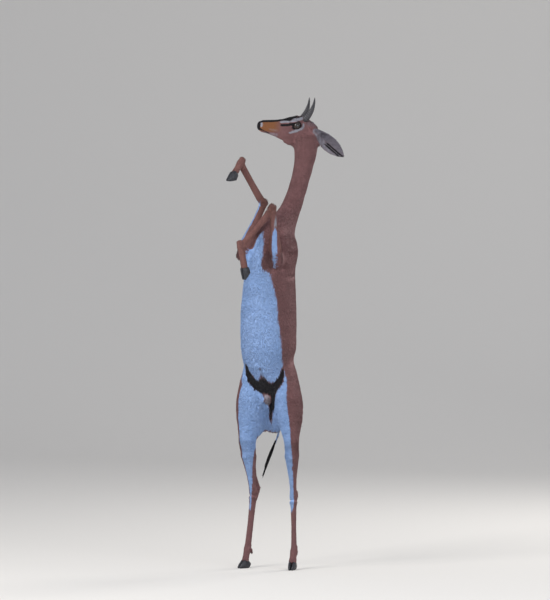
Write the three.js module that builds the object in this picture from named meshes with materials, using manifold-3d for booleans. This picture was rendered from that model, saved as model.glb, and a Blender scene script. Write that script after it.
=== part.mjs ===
// A young male gerenuk, life size, standing upright on its hind legs to browse.
// Millimetres. +Z is up, the belly faces -Y and the animal's own left side is +X.
// The head is turned to the animal's right, both forelegs are folded in the air, and the hind hooves stand
// on z = 0.
import * as THREE from "three";
import { mergeVertices } from "three/addons/utils/BufferGeometryUtils.js";
import Module from "manifold-3d";

const wasm = await Module();
wasm.setup();

const DEGREE = Math.PI / 180;
const GAP = 0.3; // between one part and the next
const SIDES = { left: 1, right: -1 };

// Where the whole animal is moved to, so that its origin is under the middle of its box.
const ORIGIN_SHIFT = [-50.3, -32];

const vec = (x, y, z) => new THREE.Vector3(x, y, z);
const point = (values) => new THREE.Vector3(...values);

// Trunk, from the seat up to the root of the neck. Each ring has its centre, its half width and its reach to
// the belly and to the back.
const TRUNK = [
  { at: [-2, 52, 588], side: 38, front: 30, back: 32 },
  { at: [0, 60, 650], side: 62, front: 46, back: 54 },
  { at: [0, 55, 715], side: 80, front: 64, back: 66 },
  { at: [0, 40, 775], side: 92, front: 82, back: 84 },
  { at: [-3, 20, 845], side: 99, front: 110, back: 110 },
  { at: [-6, 6, 885], side: 107, front: 124, back: 120 },
  { at: [-1, -1, 932], side: 121, front: 136, back: 132 },
  { at: [0, -4, 985], side: 123, front: 140, back: 138 },
  { at: [-1, -6, 1065], side: 122, front: 141, back: 144 },
  { at: [2, -4, 1145], side: 113, front: 143, back: 144 },
  { at: [5, -2, 1225], side: 107, front: 146, back: 142 },
  { at: [11, 0, 1300], side: 96, front: 144, back: 134 },
  { at: [21, 8, 1365], side: 82, front: 132, back: 120 },
  { at: [33, 28, 1420], side: 66, front: 106, back: 94 },
  { at: [47, 62, 1468], side: 49, front: 72, back: 68 },
  { at: [60, 86, 1512], side: 34, front: 44, back: 42 },
];

// Neck, from inside the chest up to the throat. turn is how far a ring has turned to the animal's right.
const NECK = [
  { at: [34, 40, 1415], side: 55, front: 88, back: 84, turn: 0 },
  { at: [47, 64, 1468], side: 48, front: 68, back: 66, turn: -3 },
  { at: [63, 90, 1520], side: 43, front: 50, back: 52, turn: -8 },
  { at: [76, 114, 1580], side: 40, front: 43, back: 45, turn: -15 },
  { at: [87, 134, 1645], side: 39, front: 42, back: 45, turn: -25 },
  { at: [96, 149, 1705], side: 41, front: 43, back: 47, turn: -36 },
  { at: [102, 160, 1765], side: 45, front: 55, back: 53, turn: -46 },
  { at: [105, 168, 1820], side: 44, front: 62, back: 51, turn: -50 },
];
const CHEST_FROM = 1170; // heights of the cuts across the body
const ABDOMEN_FROM = 862;
const NECK_ROOT = { at: [40, 66, 1462], lean: 24 };
const NECK_MIDDLE = { at: [78, 131, 1634], lean: 14 };

// Head: where it hinges on the neck, how far it is turned and raised, and its sizes.
const HEAD = { joint: [104, 178, 1845], turn: -50, raise: 6, noseReach: 225 };
const HEAD_RINGS = [
  { at: [-26, 0, 6], side: 25, front: 30, back: 20 },
  { at: [-8, 0, 2], side: 37, front: 46, back: 40 },
  { at: [22, 0, 2], side: 40, front: 58, back: 50 },
  { at: [52, 0, 2], side: 41, front: 61, back: 56 },
  { at: [82, 0, 0], side: 38, front: 57, back: 49 },
  { at: [112, 0, -2], side: 31, front: 50, back: 40 },
  { at: [145, 0, -2], side: 25, front: 38, back: 33 },
  { at: [178, 0, -2], side: 21.5, front: 29, back: 29 },
  { at: [203, 0, -1], side: 20, front: 26, back: 25 },
  { at: [216, 0, -1], side: 16.5, front: 20, back: 19 },
];
const EYE = { at: [63, 38, 15], radius: 16.5, sink: 4.5, detail: [16, 9] };
const NOSTRIL = { at: [217, 9.5, 5], length: 8, height: 3.2 };
const MOUTH = { corner: 150, cornerDrop: -27, tipDrop: -13, depth: 3.5, height: 1.5 };
const HORN = { at: [43, 21, 50], base: 14, length: 128, rings: 7, ringHeight: 1.4 };
const EAR = { length: 172, wall: 3.4, cut: 16 };

// One ear's rings: the share of its length, its half width, its depth behind and its lip on the open side.
const EAR_RINGS = [
  [-0.08, 12, 12, 12],
  [0.06, 14, 14, 13],
  [0.2, 22, 17, 12],
  [0.36, 30, 18, 9],
  [0.54, 33, 16, 5],
  [0.72, 29, 12, 3],
  [0.88, 18, 7, 2.5],
  [0.985, 5, 3.5, 2],
];
const EAR_POSES = {
  left: { root: [-9, 32, 5], along: [-0.8, 0.16, -0.575], open: [0.1, 0.95, -0.12] },
  right: { root: [-6, -33, 14], along: [-0.5, -0.86, -0.06], open: [0.75, -0.5, -0.25] },
};

// Legs: the joints of each, in the pose.
const HIND_LEGS = {
  left: {
    hip: [71, 20, 745],
    stifle: [122, -48, 552],
    hock: [94, 42, 308],
    fetlock: [98, 38, 82],
    toe: [100, 13, 0],
    turn: 8,
  },
  right: {
    hip: [-76, 20, 745],
    stifle: [-87, -44, 552],
    hock: [-90, 40, 322],
    fetlock: [-114, 36, 82],
    toe: [-120, 11, 0],
    turn: -28,
  },
};
const FORELEGS = {
  left: {
    shoulder: [
      [76, -28, 1250, 26, 44, 60],
      [82, -20, 1292, 38, 84, 88],
      [86, -8, 1342, 43, 94, 94],
      [80, 6, 1390, 38, 80, 80],
      [66, 20, 1428, 24, 48, 52],
    ],
    elbow: [86, -118, 1296],
    carpus: [86, -168, 1524],
    fetlock: [-8, -283, 1372],
    toe: [4, -250, 1240],
  },
  right: {
    shoulder: [
      [-56, -28, 1262, 26, 44, 60],
      [-54, -20, 1300, 36, 84, 88],
      [-50, -8, 1346, 39, 94, 94],
      [-40, 6, 1392, 36, 80, 80],
      [-24, 20, 1428, 24, 48, 52],
    ],
    elbow: [-76, -108, 1322],
    carpus: [26, -122, 1544],
    fetlock: [-28, -236, 1718],
    toe: [-50, -296, 1642],
  },
};
const CLAW = { length: 54, width: 17, height: 40, gap: 1.2 };

// One claw's rings: shares of its length, its width and its height for the centre, and then for the radii.
const CLAW_RINGS = [
  [-0.44, 0.5, 0.3, 0.36, 0.3, 0.3],
  [-0.28, 0.5, 0.42, 0.5, 0.42, 0.44],
  [0, 0.5, 0.42, 0.5, 0.42, 0.52],
  [0.28, 0.42, 0.27, 0.4, 0.27, 0.27],
  [0.48, 0.3, 0.12, 0.24, 0.12, 0.1],
];

// Tail: a thin dock that ends in a tuft of locks.
const TAIL_PATH = [
  [0, 84, 716],
  [0, 126, 668],
  [-5, 134, 600],
  [-21, 122, 535],
  [-39, 105, 476],
];
const TAIL = { root: 13, tip: 5 };
const TUFT = { locks: 7, length: 120, width: 12, wall: 2.2, seed: 7 };

// The tuft's core: how far along the tail from its end, and the radius there.
const TUFT_CORE = [
  [-62, 9],
  [-30, 9.5],
  [10, 9],
  [45, 4],
];

const COLOURS = {
  coat: { color: 0x8a5a3c, roughness: 0.85, metalness: 0 },
  belly: { color: 0xe9e4dc, roughness: 0.85, metalness: 0 },
  black: { color: 0x1c1715, roughness: 0.7, metalness: 0 },
  horn: { color: 0x2c2826, roughness: 0.5, metalness: 0 },
  eye: { color: 0x140d0a, roughness: 0.08, metalness: 0 },
};

// A triangle mesh as a solid.
function solidOf(geometry) {
  const bare = geometry.clone();
  bare.deleteAttribute("normal");
  bare.deleteAttribute("uv");
  const merged = mergeVertices(bare, 1e-3);
  return new wasm.Manifold(
    new wasm.Mesh({
      numProp: 3,
      vertProperties: new Float32Array(merged.attributes.position.array),
      triVerts: new Uint32Array(merged.index.array),
    }),
  );
}

const join = (solids) => solids.reduce((all, next) => all.add(next));

// One number or point between rings, on a smooth curve through them.
function smooth(values, stops, at) {
  let i = 0;
  while (i < stops.length - 2 && at > stops[i + 1]) i++;
  const slope = (k) => {
    const low = Math.max(0, k - 1);
    const high = Math.min(stops.length - 1, k + 1);
    return (values[high] - values[low]) / (stops[high] - stops[low]);
  };
  const span = stops[i + 1] - stops[i];
  const t = (at - stops[i]) / span;
  const [t2, t3] = [t * t, t * t * t];
  return (
    values[i] * (2 * t3 - 3 * t2 + 1) +
    slope(i) * span * (t3 - 2 * t2 + t) +
    values[i + 1] * (3 * t2 - 2 * t3) +
    slope(i + 1) * span * (t3 - t2)
  );
}

// Rings with smooth ones added between them.
function refine(rings, steps) {
  const keys = ["side", "front", "back", "turn"];
  const rows = rings.map((r) => [...r.at, ...keys.map((k) => r[k] ?? 0)]);
  const stops = [0];
  rings.slice(1).forEach((r, i) => stops.push(stops[i] + point(r.at).distanceTo(point(rings[i].at))));
  const fine = [];
  for (let i = 0; i < rings.length - 1; i++) {
    for (let s = 0; s < steps; s++) {
      const at = stops[i] + ((stops[i + 1] - stops[i]) * s) / steps;
      fine.push(rows[0].map((_, k) => smooth(rows.map((row) => row[k]), stops, at)));
    }
  }
  fine.push(rows[rows.length - 1]);
  return fine.map(([x, y, z, side, front, back, turn]) => ({ at: vec(x, y, z), side, front, back, turn }));
}

// A closed body with rounded ends through rings. A ring reaches side to each side, and front and back across
// it. sideways is the direction of a ring's side where turn is 0. turn goes about the vertical, and grow
// swells the body.
function loft(rings, { sides = 12, steps = 1, grow = 0, sideways = vec(1, 0, 0), blunt = 0.6 } = {}) {
  const fine = refine(rings, steps);
  const last = fine.length - 1;
  const directions = fine.map((_, i) =>
    fine[Math.min(last, i + 1)].at.clone().sub(fine[Math.max(0, i - 1)].at).normalize(),
  );
  const caps = sides > 10 ? [0.35, 0.78] : [0.6];
  const stack = [];
  const addRing = (i, push, shrink) => {
    const { at, side, front, back, turn } = fine[i];
    const across = sideways.clone().applyAxisAngle(vec(0, 0, 1), turn * DEGREE);
    across.addScaledVector(directions[i], -across.dot(directions[i])).normalize();
    const ahead = across.clone().cross(directions[i]).normalize();
    const centre = at.clone().addScaledVector(directions[i], push);
    for (let k = 0; k < sides; k++) {
      const angle = (2 * Math.PI * k) / sides;
      const depth = Math.sin(angle) > 0 ? front : back;
      stack.push(
        centre
          .clone()
          .addScaledVector(across, (side + grow) * shrink * Math.cos(angle))
          .addScaledVector(ahead, (depth + grow) * shrink * Math.sin(angle)),
      );
    }
  };
  const endReach = (i) => blunt * Math.min(fine[i].side, (fine[i].front + fine[i].back) / 2) + grow;
  [...caps].reverse().forEach((c) => addRing(0, -endReach(0) * c, Math.sqrt(1 - c * c)));
  fine.forEach((_, i) => addRing(i, 0, 1));
  caps.forEach((c) => addRing(last, endReach(last) * c, Math.sqrt(1 - c * c)));
  const rows = stack.length / sides;
  const tips = [
    fine[0].at.clone().addScaledVector(directions[0], -endReach(0)),
    fine[last].at.clone().addScaledVector(directions[last], endReach(last)),
  ];
  const faces = [];
  for (let r = 0; r < rows - 1; r++) {
    for (let k = 0; k < sides; k++) {
      const [a, b] = [r * sides + k, r * sides + ((k + 1) % sides)];
      faces.push(a, a + sides, b, b, a + sides, b + sides);
    }
  }
  for (let k = 0; k < sides; k++) {
    const next = (k + 1) % sides;
    faces.push(stack.length, k, next);
    faces.push(stack.length + 1, (rows - 1) * sides + next, (rows - 1) * sides + k);
  }
  return solidFromFaces([...stack, ...tips], faces);
}

// Points and triangles as a solid, turned right side out.
function solidFromFaces(points, faces) {
  const build = (indices) =>
    solidOf(new THREE.BufferGeometry().setFromPoints(points).setIndex(indices));
  const made = build(faces);
  if (made.volume() > 0) return made;
  const turned = [];
  for (let i = 0; i < faces.length; i += 3) turned.push(faces[i], faces[i + 2], faces[i + 1]);
  return build(turned);
}

// An ellipsoid at a place.
function egg(at, radii, detail = [9, 6]) {
  return solidOf(new THREE.SphereGeometry(1, ...detail).scale(...radii).translate(...at));
}

// All that lies above a plane through a point, which leans back by some degrees.
function above({ at, lean = 0 }, lift = 0) {
  const size = 3000;
  const g = new THREE.BoxGeometry(size, size, size).translate(0, 0, size / 2 + lift);
  return solidOf(g.rotateX(-lean * DEGREE).translate(...at));
}

const cutBelow = (solid, plane) => solid.intersect(above(plane, GAP / 2));
const cutAbove = (solid, plane) => solid.subtract(above(plane, -GAP / 2));

// The largest closed body of a solid.
function largest(solid) {
  const pieces = solid.decompose();
  return pieces.reduce((best, next) => (next.volume() > best.volume() ? next : best));
}

const trunk = (grow) => loft(TRUNK, { sides: 24, grow });
const neck = (grow) => loft(NECK, { sides: 18, grow });

// The sheath and the scrotum under the belly, and the breastbone's ridge.
function underside() {
  const sheath = loft(
    [
      { at: [0, -112, 890], side: 9, front: 9, back: 12 },
      { at: [0, -84, 838], side: 11, front: 12, back: 14 },
      { at: [0, -42, 782], side: 10, front: 10, back: 16 },
    ],
    { sides: 10 },
  );
  const scrotum = egg([0, -14, 722], [17, 17, 25], [12, 8]);
  return [sheath, scrotum];
}

const body = join([trunk(0), neck(0), ...underside()]);
const bodyGrown = join([trunk(GAP), neck(GAP)]);

// The head's own frame: x runs to the nose, y to the animal's left and z up.
const headFrame = new THREE.Matrix4()
  .makeTranslation(...HEAD.joint)
  .multiply(new THREE.Matrix4().makeRotationZ((HEAD.turn - 90) * DEGREE))
  .multiply(new THREE.Matrix4().makeRotationY(-HEAD.raise * DEGREE));

// Moves a solid from the head's frame to the animal's.
function onHead(solid) {
  return solid.transform(headFrame.elements);
}

const eyeCentre = (way) => [EYE.at[0], way * (EYE.at[1] - EYE.sink), EYE.at[2]];

// The eyelids and the rim of the socket, a low ring round each eye.
function lids(way) {
  const g = new THREE.TorusGeometry(EYE.radius * 0.86, 4.2, 5, 14).scale(1.12, 0.86, 0.8);
  g.rotateX(90 * DEGREE).rotateZ(way * -14 * DEGREE);
  return solidOf(g.translate(EYE.at[0], way * (EYE.at[1] + 1.2), EYE.at[2]));
}

// The slit between the lips, from the front of the muzzle to the corner of the mouth.
function mouthSlit() {
  const width = 60;
  const shape = new THREE.Shape();
  const reach = HEAD.noseReach + 10;
  shape.moveTo(MOUTH.corner, MOUTH.cornerDrop);
  shape.lineTo(reach, MOUTH.tipDrop - MOUTH.height);
  shape.lineTo(reach, MOUTH.tipDrop + MOUTH.height);
  const slit = new THREE.ExtrudeGeometry(shape, { depth: width, bevelEnabled: false });
  slit.rotateX(90 * DEGREE).translate(0, width / 2, 0);
  const inner = loft(
    HEAD_RINGS.slice(5).map((r) => ({
      ...r,
      side: r.side - MOUTH.depth,
      at: [r.at[0] - MOUTH.depth, 0, r.at[2]],
    })),
    { sides: 18, sideways: vec(0, 1, 0) },
  );
  return solidOf(slit).subtract(inner);
}

// The comma of each nostril, cut into the nose.
function nostril(way) {
  const { at, length, height } = NOSTRIL;
  const g = new THREE.SphereGeometry(1, 8, 6).scale(length, 4, height);
  g.rotateY(35 * DEGREE).rotateZ(way * 28 * DEGREE);
  return solidOf(g.translate(at[0], way * at[1], at[2]));
}

const headLoft = (grow) => loft(HEAD_RINGS, { sides: 18, grow, sideways: vec(0, 1, 0) });

// The skull, jaw and lips before any cut, with cheeks, brows and the pads that carry the horns.
function headMass(grow) {
  const parts = [headLoft(grow)];
  for (const way of Object.values(SIDES)) {
    parts.push(egg([34, way * 24, -26], [34 + grow, 18 + grow, 30 + grow]));
    parts.push(egg([70, way * 29, 22], [27 + grow, 14 + grow, 19 + grow]));
    parts.push(egg([HORN.at[0] + 3, way * 20, HORN.at[2] - 7], [19 + grow, 15 + grow, 14 + grow]));
    parts.push(egg([168, way * 13, -14], [30 + grow, 9 + grow, 9 + grow]));
    parts.push(egg([-8, way * 28, 12], [18 + grow, 14 + grow, 21 + grow]));
  }
  parts.push(egg([64, 0, -47], [46 + grow, 21 + grow, 25 + grow], [10, 7]));
  return join(parts);
}

function makeHead() {
  let head = headMass(0);
  for (const way of Object.values(SIDES)) {
    head = head.add(lids(way));
    head = head.subtract(egg(eyeCentre(way), Array(3).fill(EYE.radius + GAP), EYE.detail));
    head = head.subtract(nostril(way));
  }
  return largest(head.subtract(mouthSlit()));
}

// One horn: it rises back from the brow, curves up to its tip, and has ridges round its lower two thirds.
function horn(way) {
  const { at, base, length, rings, ringHeight } = HORN;
  const stations = rings * 2 + 6;
  const list = [];
  for (let i = 0; i <= stations; i++) {
    const t = i / stations;
    const sweep = length * t;
    const ridged = t < 0.72 && i % 2 === 1 ? ringHeight : 0;
    const radius = base * (1 - t) ** 0.72 + 1.1 + ridged;
    list.push({
      at: [
        at[0] - 10 - sweep * 0.62 + 44 * t * t,
        way * (at[1] + sweep * 0.2 - 8 * t * t),
        at[2] - 12 + sweep * 0.62 + 22 * t * t,
      ],
      side: radius * 0.86,
      front: radius,
      back: radius,
    });
  }
  return loft(list, { sides: 9, sideways: vec(0, 1, 0), blunt: 0.9 });
}

// One ear: a leaf that is hollowed out from its open side, with a narrow root and a blunt tip.
function ear(pose) {
  const along = point(pose.along).normalize();
  const open = point(pose.open);
  open.addScaledVector(along, -open.dot(along)).normalize();
  const sideways = open.clone().cross(along);
  const place = (share) => point(pose.root).addScaledVector(along, EAR.length * share).toArray();
  const leaf = loft(
    EAR_RINGS.map(([share, side, front, back]) => ({ at: place(share), side, front, back })),
    { sides: 12, sideways },
  );
  const hollow = loft(
    EAR_RINGS.slice(2).map(([share, side, front, back]) => ({
      at: place(share),
      side: Math.max(side - EAR.wall, 1.5),
      front: Math.max(front - EAR.wall, 1),
      back: back + EAR.cut,
    })),
    { sides: 12, sideways, blunt: 0.2 },
  );
  return leaf.subtract(hollow);
}

const headGrown = onHead(headMass(GAP));
const head = onHead(makeHead());

const blend = (a, b, t) => point(a).lerp(point(b), t).toArray();

// Rings along a bone, from its lower end to its upper end. A row is the share of the way up and the radii.
const along = (low, high, rows) =>
  rows.map(([t, side, front, back]) => ({ at: blend(low, high, t), side, front, back }));

const sidewaysOf = (turn) => vec(Math.cos(turn * DEGREE), Math.sin(turn * DEGREE), 0);

// The direction across a foreleg, square to the plane in which it folds.
function foldAxis({ elbow, carpus, fetlock }) {
  const forearm = point(carpus).sub(point(elbow));
  const cannon = point(fetlock).sub(point(carpus));
  return forearm.cross(cannon).normalize();
}

// The thigh with its muscle, from the stifle to the rump.
function thigh(leg, grow) {
  const rings = [
    ...along(leg.stifle, leg.hip, [
      [-0.08, 26, 29, 38],
      [0.06, 36, 41, 56],
      [0.24, 46, 53, 83],
      [0.46, 60, 66, 108],
      [0.75, 67, 79, 121],
      [1.02, 63, 80, 112],
    ]),
    { at: [leg.hip[0] * 0.88, leg.hip[1] + 6, leg.hip[2] + 84], side: 50, front: 74, back: 88 },
    { at: [leg.hip[0] * 0.7, leg.hip[1] - 4, leg.hip[2] + 150], side: 34, front: 66, back: 78 },
  ];
  return loft(rings, { sides: 16, grow, sideways: sidewaysOf(leg.turn) });
}

// From the stifle to the hock, with the calf behind, its tendon, and the point of the hock.
function gaskin(leg, grow) {
  const sideways = sidewaysOf(leg.turn);
  const shin = loft(
    along(leg.hock, leg.stifle, [
      [-0.02, 17, 18, 18],
      [0.14, 14, 17, 18],
      [0.32, 16.5, 19, 22],
      [0.52, 23.5, 25, 33],
      [0.74, 31, 34, 45],
      [0.98, 35, 38, 51],
    ]),
    { sides: 12, grow, sideways },
  );
  const back = sideways.clone().cross(vec(0, 0, -1));
  const heel = point(leg.hock).addScaledVector(back, 28).add(vec(0, 0, 14));
  const tendonMiddle = point(blend(leg.hock, leg.stifle, 0.3));
  const calf = point(blend(leg.hock, leg.stifle, 0.55));
  const underHock = point(leg.hock).add(vec(0, 0, -30)).addScaledVector(back, 8);
  const tendon = loft(
    [
      { at: heel.toArray(), side: 8, front: 10, back: 10 },
      { at: tendonMiddle.addScaledVector(back, 22).toArray(), side: 6, front: 8, back: 8 },
      { at: calf.addScaledVector(back, 22).toArray(), side: 10, front: 14, back: 12 },
    ],
    { sides: 7, grow, sideways },
  );
  const hockBone = loft(
    [
      { at: underHock.toArray(), side: 12, front: 12, back: 12 },
      { at: point(leg.hock).addScaledVector(back, 14).toArray(), side: 16, front: 17, back: 16 },
      { at: heel.clone().add(vec(0, 0, 6)).toArray(), side: 11, front: 11, back: 10 },
    ],
    { sides: 9, grow, sideways },
  );
  return join([shin, tendon, hockBone]);
}

// The shoulder blade with its muscles on the side of the chest, and the upper arm down to the elbow.
function shoulderOf(leg, way, grow) {
  const blade = loft(
    leg.shoulder.map(([x, y, z, side, front, back]) => ({ at: [x, y, z], side, front, back })),
    { sides: 16, grow },
  );
  const arm = loft(
    [
      { at: [leg.elbow[0], leg.elbow[1] + 4, leg.elbow[2] - 8], side: 22, front: 26, back: 24 },
      { at: [leg.elbow[0] - way * 3, leg.elbow[1] + 34, leg.elbow[2] + 14], side: 29, front: 38, back: 36 },
      { at: [leg.elbow[0] - way * 10, leg.elbow[1] + 84, leg.elbow[2] + 34], side: 30, front: 48, back: 46 },
    ],
    { sides: 14, grow },
  );
  return blade.add(arm);
}

// A cannon bone with its tendons, from the fetlock to the joint above it.
function cannon(low, high, { sideways, grow, top }) {
  return loft(
    along(low, high, [
      [0, 13.5, 16, 18],
      [0.12, 11.5, 13, 16],
      [0.5, 10, 12, 16],
      [0.86, 12, 14, 17],
      [1, ...top],
    ]),
    { sides: 10, grow, sideways },
  );
}

// The fetlock and pastern, with the two dew claws behind.
function pastern(leg, coronet, sideways, grow) {
  const direction = point(leg.fetlock).sub(coronet).normalize();
  const rear = sideways.clone().cross(direction).normalize().negate();
  const shaft = loft(
    [
      { at: coronet.toArray(), side: 17, front: 13, back: 13 },
      { at: blend(coronet.toArray(), leg.fetlock, 0.45), side: 14.5, front: 12.5, back: 13 },
      { at: leg.fetlock, side: 15.5, front: 15.5, back: 18 },
      { at: point(leg.fetlock).addScaledVector(direction, 20).toArray(), side: 12, front: 13, back: 15 },
    ],
    { sides: 10, grow, sideways },
  );
  const dewClaws = [-1, 1].map((way) => {
    const root = point(leg.fetlock).addScaledVector(rear, 15).addScaledVector(sideways, way * 8);
    const tip = root.clone().addScaledVector(direction, -13).addScaledVector(rear, 7);
    return loft(
      [
        { at: tip.toArray(), side: 3.5, front: 3.5, back: 3.5 },
        { at: root.toArray(), side: 6, front: 6, back: 6 },
      ],
      { sides: 5, grow, sideways },
    );
  });
  return join([shaft, ...dewClaws]);
}

// One claw of a hoof in its own frame: sole on z = 0, toe to +x, its flat inner face at y = 0.
function claw() {
  const { length, width, height } = CLAW;
  const rings = CLAW_RINGS.map(([x, y, z, side, front, back]) => ({
    at: [length * x, width * y, height * z],
    side: width * side,
    front: height * front,
    back: height * back,
  }));
  const mass = loft(rings, { sides: 8, sideways: vec(0, 1, 0), blunt: 0.4 });
  const keep = solidOf(new THREE.BoxGeometry(200, 200, 200).translate(0, 100, 101.4));
  return mass.intersect(keep).translate(0, 0, -1.4);
}

// The two claws of one foot: the toe's direction, the sole's normal and the middle of the sole.
function claws(middle, forward, up) {
  const across = up.clone().cross(forward).normalize();
  const one = claw();
  return [-1, 1].map((way) => {
    const frame = new THREE.Matrix4().makeBasis(forward, across, up);
    frame.setPosition(middle.clone().addScaledVector(across, (way * CLAW.gap) / 2));
    const half = way > 0 ? one : one.mirror([0, 1, 0]);
    return half.transform(frame.elements);
  });
}

// A steady stream of draws between 0 and 1.
function draws(seed) {
  let state = seed;
  return () => {
    state = (state * 1664525 + 1013904223) % 4294967296;
    return state / 4294967296;
  };
}

// The dock. grow swells it, which leaves the gap inside the tuft.
function tail(grow) {
  const last = TAIL_PATH.length - 1;
  const rings = TAIL_PATH.map((at, i) => {
    const radius = TAIL.root + ((TAIL.tip - TAIL.root) * i) / last;
    return { at, side: radius, front: radius, back: radius };
  });
  return loft(rings, { sides: 8, steps: 2, grow });
}

// One flat, tapered lock that leaves its root along a direction and droops.
function lock(root, direction, out, length) {
  const bend = [0, 0.35, 0.7, 1];
  const path = bend.map((t) =>
    root
      .clone()
      .addScaledVector(direction, length * t)
      .addScaledVector(out, 9 * Math.sin(Math.PI * t * 0.8) - 6 * t * t)
      .toArray(),
  );
  const rings = path.map((at, i) => {
    const share = [0.8, 1, 0.7, 0.16][i];
    const depth = (TUFT.wall / 2) * share + 0.5;
    return { at, side: (TUFT.width / 2) * share, front: depth, back: depth };
  });
  return loft(rings, { sides: 4, sideways: out.clone().cross(direction).normalize() });
}

function tuft() {
  const random = draws(TUFT.seed);
  const end = point(TAIL_PATH[TAIL_PATH.length - 1]);
  const direction = end.clone().sub(point(TAIL_PATH[TAIL_PATH.length - 2])).normalize();
  direction.add(vec(0, 0, -0.25)).normalize();
  const aside = direction.clone().cross(vec(0, 1, 0)).normalize();
  const core = loft(
    TUFT_CORE.map(([reach, radius]) => ({
      at: end.clone().addScaledVector(direction, reach).toArray(),
      side: radius,
      front: radius,
      back: radius,
    })),
    { sides: 8 },
  );
  const locks = [core];
  for (let i = 0; i < TUFT.locks; i++) {
    const angle = i * 137.5 * DEGREE;
    const out = aside.clone().applyAxisAngle(direction, angle);
    const root = end
      .clone()
      .addScaledVector(direction, -52 + 74 * (i / TUFT.locks))
      .addScaledVector(out, 2.5);
    locks.push(lock(root, direction, out, TUFT.length * (0.62 + 0.38 * random())));
  }
  return join(locks);
}

const group = new THREE.Group();
group.name = "gerenuk";

// Puts a solid in the model as one named part.
function put(name, solid, colour) {
  const mesh = largest(solid).getMesh();
  const positions = [];
  for (let i = 0; i < mesh.numVert; i++) {
    const start = i * mesh.numProp;
    positions.push(...mesh.vertProperties.subarray(start, start + 3));
  }
  const geometry = new THREE.BufferGeometry();
  geometry.setAttribute("position", new THREE.Float32BufferAttribute(positions, 3));
  geometry.setIndex(new THREE.BufferAttribute(mesh.triVerts, 1));
  geometry.computeVertexNormals();
  const part = new THREE.Mesh(geometry, new THREE.MeshStandardMaterial(COLOURS[colour]));
  part.name = name;
  part.position.set(...ORIGIN_SHIFT, 0);
  group.add(part);
}

const chestPlane = { at: [0, 0, CHEST_FROM] };
const abdomenPlane = { at: [0, 0, ABDOMEN_FROM] };
put("rump", cutAbove(body, abdomenPlane), "coat");
put("abdomen", cutAbove(cutBelow(body, abdomenPlane), chestPlane), "belly");
put("chest", cutAbove(cutBelow(body, chestPlane), NECK_ROOT), "coat");
put("neck_lower", cutAbove(cutBelow(body, NECK_ROOT), NECK_MIDDLE), "coat");
put("neck_upper", cutBelow(body, NECK_MIDDLE).subtract(headGrown), "coat");
put("head", head, "coat");

for (const [side, way] of Object.entries(SIDES)) {
  put(`eye_${side}`, onHead(egg(eyeCentre(way), Array(3).fill(EYE.radius), EYE.detail)), "eye");
  put(`horn_${side}`, onHead(horn(way)).subtract(headGrown), "horn");
  put(`ear_${side}`, onHead(ear(EAR_POSES[side])).subtract(headGrown).subtract(bodyGrown), "coat");
}

for (const side of Object.keys(SIDES)) {
  const leg = HIND_LEGS[side];
  const sideways = sidewaysOf(leg.turn);
  const forward = sideways.clone().cross(vec(0, 0, 1));
  const up = vec(0, 0, 1);
  const coronet = point(leg.toe).add(vec(0, 0, CLAW.height * 0.82)).addScaledVector(forward, -8);
  const limb = { sideways, top: [16, 18, 20] };
  put(`thigh_${side}`, thigh(leg, 0).subtract(bodyGrown), "coat");
  const thighGrown = thigh(leg, GAP);
  put(`gaskin_${side}`, gaskin(leg, 0).subtract(thighGrown).subtract(bodyGrown), "coat");
  const hock = point(leg.hock).add(vec(0, 0, -22)).toArray();
  const cannonOf = (grow) => cannon(leg.fetlock, hock, { ...limb, grow });
  put(`hind_cannon_${side}`, cannonOf(0).subtract(gaskin(leg, GAP)), "coat");
  const feet = claws(point(leg.toe), forward, up);
  const pasternSolid = pastern(leg, coronet, sideways, 0).subtract(cannonOf(GAP));
  put(`hind_pastern_${side}`, pasternSolid, "coat");
  const pasternGrown = pastern(leg, coronet, sideways, GAP);
  feet.forEach((solid, i) => put(`hind_claw_${side}_${i + 1}`, solid.subtract(pasternGrown), "black"));
}

for (const side of Object.keys(SIDES)) {
  const leg = FORELEGS[side];
  const sideways = foldAxis(leg);
  const way = SIDES[side];
  const shoulder = (grow) => shoulderOf(leg, way, grow);
  const forearm = (grow) => {
    const shaft = loft(
      along(leg.carpus, leg.elbow, [
        [0, 16, 18, 16],
        [0.1, 15.5, 16, 15],
        [0.3, 14.5, 15, 17],
        [0.6, 21, 24, 27],
        [0.85, 27, 33, 34],
        [1.02, 26, 33, 30],
      ]),
      { sides: 14, grow, sideways },
    );
    const wrist = egg(leg.carpus, [19 + grow, 20 + grow, 20 + grow]);
    return shaft.add(wrist);
  };
  put(`shoulder_${side}`, shoulder(0).subtract(bodyGrown), "coat");
  put(`forearm_${side}`, forearm(0).subtract(shoulder(GAP)).subtract(bodyGrown), "coat");
  const cannonOf = (grow) => cannon(leg.fetlock, leg.carpus, { sideways, grow, top: [15, 16, 17] });
  put(`fore_cannon_${side}`, cannonOf(0).subtract(forearm(GAP)), "coat");
  const direction = point(leg.fetlock).sub(point(leg.toe)).normalize();
  const coronet = point(leg.toe).addScaledVector(direction, 50);
  put(`fore_pastern_${side}`, pastern(leg, coronet, sideways, 0).subtract(cannonOf(GAP)), "coat");
  const forward = direction.clone().negate();
  const up = forward.clone().cross(sideways).normalize().negate();
  const middle = point(leg.toe).addScaledVector(direction, CLAW.length * 0.42).addScaledVector(up, -16);
  const pasternGrown = pastern(leg, coronet, sideways, GAP);
  claws(middle, forward, up).forEach((solid, i) =>
    put(`fore_claw_${side}_${i + 1}`, solid.subtract(pasternGrown), "black"),
  );
}

put("tail", tail(0).subtract(bodyGrown), "coat");
put("tail_tuft", tuft().subtract(tail(GAP)), "black");

export default group;
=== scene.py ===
"""A life-size gerenuk that stands on its hind legs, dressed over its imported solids."""

import logging
import math
from collections.abc import Callable, Sequence
from dataclasses import dataclass, field
from enum import Enum

import bmesh
import bpy
import numpy as np
from mathutils import Matrix, Vector


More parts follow.
